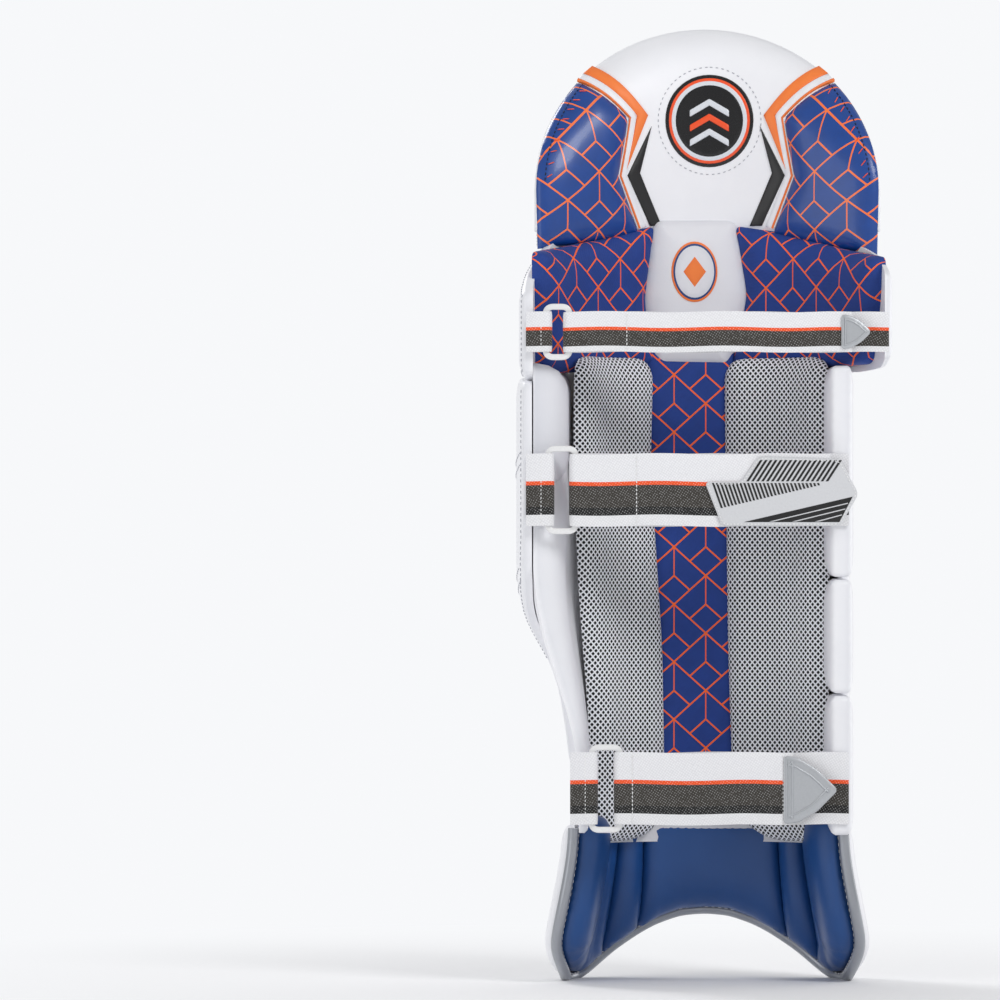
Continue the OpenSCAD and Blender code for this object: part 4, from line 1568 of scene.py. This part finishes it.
@dataclass
class BackBolsters:
    """The two mesh bolsters down the back and the patterned strip between them."""

    radius: float = 104 * MM

    def build(self) -> None:
        """Makes the bolsters and the strip."""
        face = Arc(self.radius, facing=-1.0)
        left = [(40, 472), (98, 472), (98.5, 400), (95, 300), (88, 210), (85, 107), (64, 104), (44, 109),
            (31, 126), (33, 250), (42, 390)]
        right = [(-14, 472), (-90, 472), (-90, 400), (-89, 200), (-88, 107), (-62, 104), (-42, 108),
            (-21, 126), (-17, 250)]
        for name, shape in (("left", left), ("right", right)):
            bolster = Quilt(f"mesh_bolster_{name}", face, rounded(seen(face, shape), 20 * MM), puff=10 * MM,
                width=26 * MM, back=3 * MM, pucker=0.3 * MM, finish=NET)
            settle(bolster.build(), [f"mesh_bolster_{name}"])
        strip = Arc(109 * MM, facing=-1.0)
        shape = [(-22, 480), (47, 480), (44, 380), (37.6, 119), (-25.6, 119)]
        middle = Quilt("centre_strip", strip, seen(strip, shape), puff=7 * MM, width=22 * MM, back=3 * MM,
            pucker=0.5 * MM, finish=BLUE_CLOTH)
        settle(middle.build(), ["centre_strip"])


@dataclass
class Foot:
    """The back of the instep, tucked into panels, and the silver edging round the foot."""

    def build(self) -> None:
        """Makes the padded back panels and the edging with its stitches."""
        wall = Wall(wing=False)
        line = Shin.foot_line()
        edge = np.array(line)
        face = Lining(wall, edge)
        height = 125 * MM
        lifted = np.array(inset(resample(line, 4 * MM), 3.4 * MM))

        def part(low: float, high: float) -> list[tuple[float, float]]:
            """Gives the outline between two distances along the wall."""
            inside = [(float(u), float(v)) for u, v in lifted if low + 1 * MM < u < high - 1 * MM]
            ends = [float(np.interp(u, lifted[:, 0], lifted[:, 1])) for u in (low, high)]
            foot = [(low, min(ends[0], height - 9 * MM)), *inside, (high, min(ends[1], height - 9 * MM))]
            return [*foot, (high, height), (low, height)]

        left, right = find(face, 49 * MM, 70 * MM)[0], find(face, -58 * MM, 70 * MM)[0]
        tucks = {"left": [find(face, 72 * MM, 70 * MM)[0]], "right": [find(face, -79 * MM, 70 * MM)[0]],
            "centre": []}
        for name, low, high in (("centre", right, left), ("left", left, 186.5 * MM),
                ("right", -186.5 * MM, right)):
            seams = [[(u, 12 * MM), (u, height)] for u in tucks[name]]
            panel = Quilt(f"instep_back_{name}", face, part(low, high), seams, puff=9 * MM, width=13 * MM,
                back=3 * MM, pucker=0.6 * MM, finish=DARK_BLUE_PU)
            settle(panel.build(), [f"instep_back_{name}"])
        flat = resample(line, 3 * MM)
        n = wall.normal(flat[:, 0], flat[:, 1])
        middle = relaxed(wall.place(flat[:, 0], flat[:, 1]) - n * 2 * MM)
        settle(tube("foot_edging", middle, 4.2 * MM, SILVER_PU, sides=16), ["foot_edging"])
        raised = np.array(inset(flat, 1.9 * MM))
        inner = relaxed(wall.place(raised[:, 0], raised[:, 1]) - n * 2 * MM)
        for side, s in (("back", -1), ("front", 1)):
            line = inner + n * s * 3.9 * MM
            row = stitches(f"foot_edging_stitches_{side}", [(line, n * s)], THREAD, pitch=5.0 * MM,
                thick=0.55 * MM)
            settle(row)


class Width(Enum):
    """The two webbings that the straps are cut from."""

    NARROW = 30 * MM
    WIDE = 54 * MM


@dataclass
class Strap:
    """One strap: webbing through a ring, folded back on hook and loop, and the anchor that holds the ring."""

    name: str
    z: float
    width: Width
    inner_bar: float
    outer_bar: float
    base_end: float
    flap_end: float
    hook: tuple[float, float]
    anchor_end: float
    seams: tuple[float, ...]
    # How much taller the ring is than the webbing is wide.
    tall_extra: float = 11 * MM
    thick: float = 1.6 * MM
    fold: float = 4.1 * MM
    # How far rows of stitches stop short of the webbing's edges and of the anchor's end.
    seam_margin: float = 1.5 * MM
    anchor_seam: float = 11 * MM
    # Half the ring's section: along the strap, and through it.
    ring_half: tuple[float, float] = (2.3 * MM, 1.7 * MM)

    def webbing(self, name: str, path: np.ndarray) -> bpy.types.Object:
        """Makes a strap of webbing along a path seen from above.

        Args:
            name: the piece's name.
            path: rows of x and y.

        Returns:
            The piece, with flat coordinates from edge to edge.
        """
        half = self.width.value / 2
        across = np.linspace(-1, 1, 13)
        bulge = self.thick / 2 * (1 - np.abs(across) ** 8 * 0.55)
        side = sideways(path)
        run = np.concatenate([[0], np.cumsum(np.linalg.norm(np.diff(path, axis=0), axis=1))])
        k = 2 * len(across)
        offset = np.concatenate([bulge, -bulge[::-1]])
        level = np.concatenate([across, across[::-1]])
        n = len(path)
        ease = np.clip(run / 0.02, 0, 1) * np.clip((run[-1] - run) / 0.02, 0, 1)
        ripple = 0.5 * MM * np.sin(run * 2 * math.pi / 0.09 + 1.0) * ease
        points = np.zeros((n, k, 3))
        points[:, :, 0] = path[:, :1] + side[:, :1] * offset[None, :]
        points[:, :, 1] = path[:, 1:] + side[:, 1:] * offset[None, :]
        points[:, :, 2] = self.z + level[None, :] * half + ripple[:, None]
        faces: list[tuple[int, ...]] = []
        uvs: list[tuple[float, float]] = []
        for i in range(n - 1):
            for m in range(k):
                j = (m + 1) % k
                faces.append((i * k + m, i * k + j, (i + 1) * k + j, (i + 1) * k + m))
                for p, q in ((i, m), (i, j), (i + 1, j), (i + 1, m)):
                    uvs.append((float(run[p]), float(np.clip(level[q] / 2 + 0.5, 0.004, 0.996))))
        for i, order in ((0, range(k)), (n - 1, range(k - 1, -1, -1))):
            face = tuple(i * k + m for m in order)
            faces.append(face)
            uvs += [(float(run[i]), float(np.clip(level[m - i * k] / 2 + 0.5, 0.004, 0.996))) for m in face]
        finish = WIDE_WEBBING if self.width is Width.WIDE else NARROW_WEBBING
        piece = make_mesh(name, points.reshape(-1, 3), faces, finish)
        layer = piece.data.uv_layers.new(name="flat")
        layer.data.foreach_set("uv", np.array(uvs, np.float32).ravel())
        return piece

    def build_webbing(self) -> None:
        """Makes the strap from its sewn end, round the bar and back to the free end."""
        base = resample([(self.base_end, STRAP_Y - self.fold), (self.inner_bar, STRAP_Y - self.fold)], 6 * MM)
        turn = np.radians(np.linspace(-90, 90, 15)[1:-1])
        fold = np.stack([self.inner_bar + self.fold * np.cos(turn), STRAP_Y + self.fold * np.sin(turn)],
            axis=1)
        flap = resample([(self.inner_bar, STRAP_Y + self.fold), (self.flap_end, STRAP_Y + self.fold)], 6 * MM)
        piece = self.webbing(f"{self.name}_strap_webbing", np.vstack([base, fold, flap]))
        nodes = [f"{self.name}_strap_base", f"{self.name}_strap_flap"]
        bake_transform(piece)
        settle(piece, nodes, body="")
        rows = [self.seam_row(x, 1.1 * MM) for x in self.seams]
        sewn = stitches(f"{self.name}_strap_seams", rows, THREAD, 2.2 * MM, 3.0 * MM, 0.4 * MM)
        settle(sewn, body=f"{self.name}_flap")

    def seam_row(self, x: float, above: float) -> Row:
        """Lays a row of stitches across the strap.

        Args:
            x: where the row is.
            above: how far it lies over the middle of the webbing.

        Returns:
            The points and the directions off the webbing there.
        """
        half = self.width.value / 2 - self.seam_margin
        z = np.linspace(self.z - half, self.z + half, 20)
        line = np.stack([np.full(20, x), np.full(20, STRAP_Y + self.fold + above), z], axis=1)
        return line, np.tile((0.0, 1.0, 0.0), (20, 1))

    def build_anchor(self) -> None:
        """Makes the webbing loop that holds the ring to the pad's edge."""
        y = STRAP_Y
        out = resample([(self.anchor_end, y + self.fold), (self.outer_bar, y + self.fold)], 5 * MM)
        turn = np.radians(np.linspace(90, 270, 15)[1:-1])
        fold = np.stack([self.outer_bar + self.fold * np.cos(turn), y + self.fold * np.sin(turn)], axis=1)
        back = resample([(self.outer_bar, y - self.fold), (self.anchor_end, y - self.fold)], 5 * MM)
        out[0, 1] -= 1.6 * MM
        back[-1, 1] += 1.6 * MM
        piece = self.webbing(f"{self.name}_strap_anchor_webbing", np.vstack([out, fold, back]))
        settle(piece, [f"{self.name}_strap_anchor"])
        row = self.seam_row(self.anchor_end - self.anchor_seam, 0.6 * MM)
        settle(stitches(f"{self.name}_anchor_seam", [row], THREAD, 2.2 * MM, 3.0 * MM, 0.4 * MM))

    def build_ring(self) -> None:
        """Makes the flat nylon ring with its rounded ends."""
        tall = (self.width.value + self.tall_extra) / 2 - self.ring_half[1]
        loop = rounded([(self.inner_bar, -tall), (self.outer_bar, -tall), (self.outer_bar, tall),
            (self.inner_bar, tall)], 6 * MM, 7)
        path = resample(loop, 3 * MM, closed=True)
        line = np.stack([path[:, 0], np.full(len(path), STRAP_Y), path[:, 1] + self.z], axis=1)
        turn = np.arange(14) * 2 * math.pi / 14
        corner = np.stack([np.cos(turn), np.sin(turn)], axis=1)
        section = np.sign(corner) * np.abs(corner) ** 0.6 * np.array(self.ring_half)
        ring = sweep(f"{self.name}_ring_moulding", line, section, NYLON, closed=True, up=(0, 1, 0))
        settle(ring, [f"{self.name}_strap_ring"], body=f"{self.name}_ring")

    def build_pile(self) -> None:
        """Makes the loop pile under the free end."""
        low, high = self.flap_end + 2 * MM, self.hook[1] + 6 * MM
        half = self.width.value / 2 - 2.5 * MM
        shape = rounded([(low, self.z - half), (high, self.z - half), (high, self.z + half),
            (low, self.z + half)], 3 * MM)
        pile = Quilt(f"{self.name}_loop_pile", Flat(STRAP_Y + 0.3 * MM), shape, puff=1.2 * MM, width=2 * MM,
            back=0.2 * MM, lift=1.2 * MM, grid=6 * MM, pucker=0.0, finish=LOOP_PILE)
        settle(pile.build(), body=f"{self.name}_flap")

    def build(self) -> None:
        """Makes the whole strap apart from its grip."""
        self.build_webbing()
        self.build_anchor()
        self.build_ring()
        self.build_pile()


@dataclass
class Grip:
    """A moulded grip at a strap's free end: a plate with a raised rim and ribs, or a printed patch."""

    strap: str
    node: str
    shape: Pairs
    z: float
    finish: Finish = RUBBER
    thick: float = 1.8 * MM
    y: float = 54.9 * MM
    # How far inside the edge the raised outline or the stitching runs.
    gap: float = 4.0
    stitched: bool = False
    ribs: tuple[tuple[float, float, float, float], ...] = ()
    ink: tuple[Pairs, ...] = ()
    lines: tuple[Pairs, ...] = ()

    def inner_line(self, outline: Pairs) -> np.ndarray:
        """Runs a line a little inside the outline, on the plate's face.

        Args:
            outline: the plate's outline in millimetres.

        Returns:
            Rows of x, y and z in metres.
        """
        p = np.array(outline, float)
        d = np.roll(p, -1, axis=0) - np.roll(p, 1, axis=0)
        turn = np.sign(np.sum(p[:, 0] * np.roll(p[:, 1], -1) - np.roll(p[:, 0], -1) * p[:, 1]))
        side = np.stack([-d[:, 1], d[:, 0]], axis=1) * turn
        p = p + side / np.maximum(np.linalg.norm(side, axis=1, keepdims=True), 1e-9) * self.gap
        return np.array([[x * MM, self.y + self.thick, self.z + z * MM] for x, z in p])

    def printed(self, name: str, shapes: Sequence[Pairs], above: float, finish: Finish) -> bpy.types.Object:
        """Prints shapes on the plate as one piece of raised ink.

        Args:
            name: the end of the piece's name.
            shapes: convex outlines in millimetres, about the strap's height.
            above: how far over the plate's face the ink starts.
            finish: the ink.

        Returns:
            The piece.
        """
        points: list[tuple[float, float, float]] = []
        faces: list[tuple[int, ...]] = []
        for shape in shapes:
            loop = np.array(shape, float)
            if np.sum(loop[:, 0] * np.roll(loop[:, 1], -1) - np.roll(loop[:, 0], -1) * loop[:, 1]) > 0:
                loop = loop[::-1]
            count, first, middle = len(loop), len(points), loop.mean(axis=0)
            for shrink, rise in ((1.0, -0.3), (1.0, 0.12), (0.95, 0.22)):
                y = self.y + self.thick + above + rise * MM
                points += [(x * MM, y, self.z + z * MM) for x, z in middle + (loop - middle) * shrink]
            faces.append(tuple(first + i for i in reversed(range(count))))
            faces.append(tuple(first + 2 * count + i for i in range(count)))
            for ring in (first, first + count):
                for i in range(count):
                    j = (i + 1) % count
                    faces.append((ring + i, ring + j, ring + count + j, ring + count + i))
        return make_mesh(f"{self.node}{name}", np.array(points), faces, finish)

    def build(self) -> None:
        """Makes the plate, its outline or stitching, and what is on it."""
        body = f"{self.strap}_flap"
        outline = rounded(self.shape, 4.0)
        line = [(x * MM, self.z + z * MM) for x, z in outline]
        plate = Quilt(f"{self.node}_plate", Flat(self.y), line, puff=0.9 * MM, width=1.0 * MM,
            back=0.3 * MM, lift=self.thick - 0.9 * MM, grid=3 * MM, pucker=0.0, finish=self.finish)
        settle(plate.build(), [self.node], body=body)
        inner = self.inner_line(outline)
        if self.stitched:
            up = np.tile((0.0, 1.0, 0.0), (len(inner) + 1, 1))
            row = stitches(f"{self.node}_stitches", [(np.vstack([inner, inner[:1]]), up)], THREAD, 1.6 * MM,
                2.6 * MM)
            settle(row, body=body)
        else:
            settle(tube(f"{self.node}_rim", inner, 0.7 * MM, self.finish, closed=True), body=body)
        for k, (x0, z0, x1, z1) in enumerate(self.ribs):
            line = np.linspace((x0, z0), (x1, z1), 6)
            rib = np.array([[x * MM, self.y + self.thick, self.z + z * MM] for x, z in line])
            settle(tube(f"{self.node}_rib_{k + 1}", rib, 0.6 * MM, self.finish), body=body)
        for name, shapes, above, finish in (("_print", self.ink, 0.0, BLACK_PRINT),
                ("_print_lines", self.lines, 0.12 * MM, PATCH_GROUND)):
            if shapes:
                settle(self.printed(name, shapes, above, finish), body=body)


@dataclass
class Studio:
    """A pale floor, soft lights and a long lens behind the pad."""

    distance: float = 6.0
    frame_width: float = 0.753
    offset: float = 0.1566
    height: float = 0.3635

    def build(self) -> None:
        """Makes the floor, lights, surroundings and camera."""
        scene = bpy.context.scene
        scene.view_settings.view_transform = "Standard"
        turn = np.arange(96) * 2 * math.pi / 96
        rim = np.stack([9 * np.cos(turn), 9 * np.sin(turn), np.full(96, -0.0005)], axis=1)
        floor = make_mesh("floor", rim, [tuple(range(96))], PaperSweep("floor_paper_matt"))
        world = bpy.data.worlds.new("studio")
        scene.world = world
        world.use_nodes = True
        back = world.node_tree.nodes["Background"]
        back.inputs["Color"].default_value = linear("#F5F6F8")
        # The wall that the lens sees is whiter than the light that it gives.
        ray = add_node(world.node_tree, "LightPath")
        seen_or_lit = add_node(world.node_tree, "MapRange",
            links={"Value": ray.outputs["Is Camera Ray"], "To Min": 0.5, "To Max": 1.02})
        world.node_tree.links.new(seen_or_lit.outputs["Result"], back.inputs["Strength"])
        self.light("key", (-1.6, 2.0, 2.2), 34, 1.0)
        self.light("fill", (2.2, 1.7, 0.9), 12, 1.6)
        self.light("front_key", (1.7, -2.0, 2.1), 32, 1.0)
        self.light("front_fill", (-2.2, -1.6, 0.8), 11, 1.6)
        camera = bpy.data.objects.new("camera", bpy.data.cameras.new("camera"))
        scene.collection.objects.link(camera)
        camera.location = (self.offset, self.distance, self.height)
        camera.rotation_euler = (math.radians(90), 0, math.radians(180))
        camera.data.lens = 36 * self.distance / self.frame_width
        scene.camera = camera

    def light(self, name: str, place: tuple[float, float, float], power: float, size: float) -> None:
        """Adds a soft square light aimed at the pad's middle.

        Args:
            name: its name.
            place: where it stands.
            power: its power in watts.
            size: its side.
        """
        data = bpy.data.lights.new(name, "AREA")
        data.energy, data.size = power, size
        lamp = bpy.data.objects.new(name, data)
        lamp.location = place
        aim = Vector((0, 0, 0.36)) - Vector(place)
        lamp.rotation_euler = aim.to_track_quat("-Z", "Y").to_euler()
        bpy.context.scene.collection.objects.link(lamp)


INNER_NODES: dict[str, Finish] = {"cane_rods": CANE, "shin_core": FOAM, "back_liner": COTTON,
    "knee_strap_hook": HOOK_TAPE, "calf_strap_hook": HOOK_TAPE, "ankle_strap_hook": HOOK_TAPE}


def dress_nodes(nodes: dict[str, bpy.types.Object]) -> None:
    """Gives the parts that keep their first shape their own finishes.

    Args:
        nodes: the frame's objects by name.
    """
    for name, finish in INNER_NODES.items():
        piece = nodes[name]
        piece.data.materials.clear()
        piece.data.materials.append(finish.material())
        LOG.info("%s keeps its shape, in %s", name, finish.name)


def straps() -> list[Strap]:
    """Gives the three straps with their real sizes."""
    return [Strap("knee", 489 * MM, Width.NARROW, 104.7 * MM, 122.5 * MM, -134 * MM, -106 * MM,
        (-100 * MM, -40 * MM), 137 * MM, (62 * MM, -99 * MM)),
        Strap("calf", 371 * MM, Width.WIDE, 100.1 * MM, 120.9 * MM, -104 * MM, -90 * MM,
        (-88 * MM, -10 * MM), 137 * MM, (54.7 * MM,)),
        Strap("ankle", 148 * MM, Width.WIDE, 66.7 * MM, 88.3 * MM, -104 * MM, -62 * MM, (-60 * MM, 0.0),
        104 * MM, (57.8 * MM, -54.7 * MM))]


def slanted(x: float, low: float, high: float, lean: float, wide: float) -> list[tuple[float, float]]:
    """Gives a slanting stripe's corners.

    Args:
        x: where its lower end starts.
        low: its lower end's height.
        high: its upper end's height.
        lean: how far it moves to the side for each step up.
        wide: its width.

    Returns:
        The corners.
    """
    top = x + lean * (high - low)
    return [(x, low), (x - wide, low), (top - wide, high), (top, high)]


def patch_print() -> tuple[tuple[Pairs, ...], tuple[Pairs, ...]]:
    """Lays out the calf patch's printed stripes and its wedge, in millimetres.

    Returns:
        The black shapes, and the pale lines over the wedge.
    """
    black: list[Pairs] = [slanted(-27.0 - 3.7 * k, 6.4, 22.3, -0.65, 2.0) for k in range(17)]
    for k in range(28):
        x = -1.5 - 2.9 * k
        low = (-14.9 - 0.2326 * x) / 1.08
        black.append(slanted(x - 0.35 * (5.2 - low), low, 5.2, 0.35, 1.6))
    black.append([(-25, -24), (-106.5, -5), (-96.5, -24)])
    pale = []
    for start, end_x, end_z in ((-44, -103, -9.5), (-61, -101, -13.8), (-78, -98.5, -18.2)):
        pale.append([(start, -23.6), (end_x, end_z), (end_x + 0.2, end_z - 0.8), (start - 3.4, -23.6)])
    return tuple(black), tuple(pale)


def grips() -> list[Grip]:
    """Gives the three grips with their real sizes."""
    black, pale = patch_print()
    return [Grip("knee", "knee_strap_tab", [(-98, 13), (-104, 12.5), (-112, 8.5), (-121, 0), (-112, -8.5),
        (-104, -12.5), (-98, -13)], 489 * MM, gap=3.2, ribs=((-99.6, -10, -99.6, 10),)),
        Grip("calf", "calf_strap_patch", [(4, 6), (-23, 6), (-36, 25), (-97, 23), (-111, -3), (-97, -27),
        (-9, -27)], 371 * MM, PATCH_GROUND, thick=2.2 * MM, gap=1.5, stitched=True, ink=black, lines=pale),
        Grip("ankle", "ankle_strap_tab", [(-55, 25), (-66, 23), (-80, 14.5), (-95.8, -0.8), (-80, -17),
        (-66, -25), (-55, -26.5)], 148 * MM, gap=6.5, ribs=((-57, -23, -57, 22), (-59, -22, -59, 21)))]


def main() -> None:
    """Builds the pad round its frame, part by part."""
    logging.basicConfig(level=logging.INFO, format="%(message)s")
    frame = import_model()
    dress_nodes(frame["nodes"])
    for part in (Upper(), Knee(), Shin(), BackBolsters(), Foot(), *straps(), *grips(), Studio()):
        LOG.info("building %s", type(part).__name__)
        part.build()


if __name__ == "__main__":
    main()
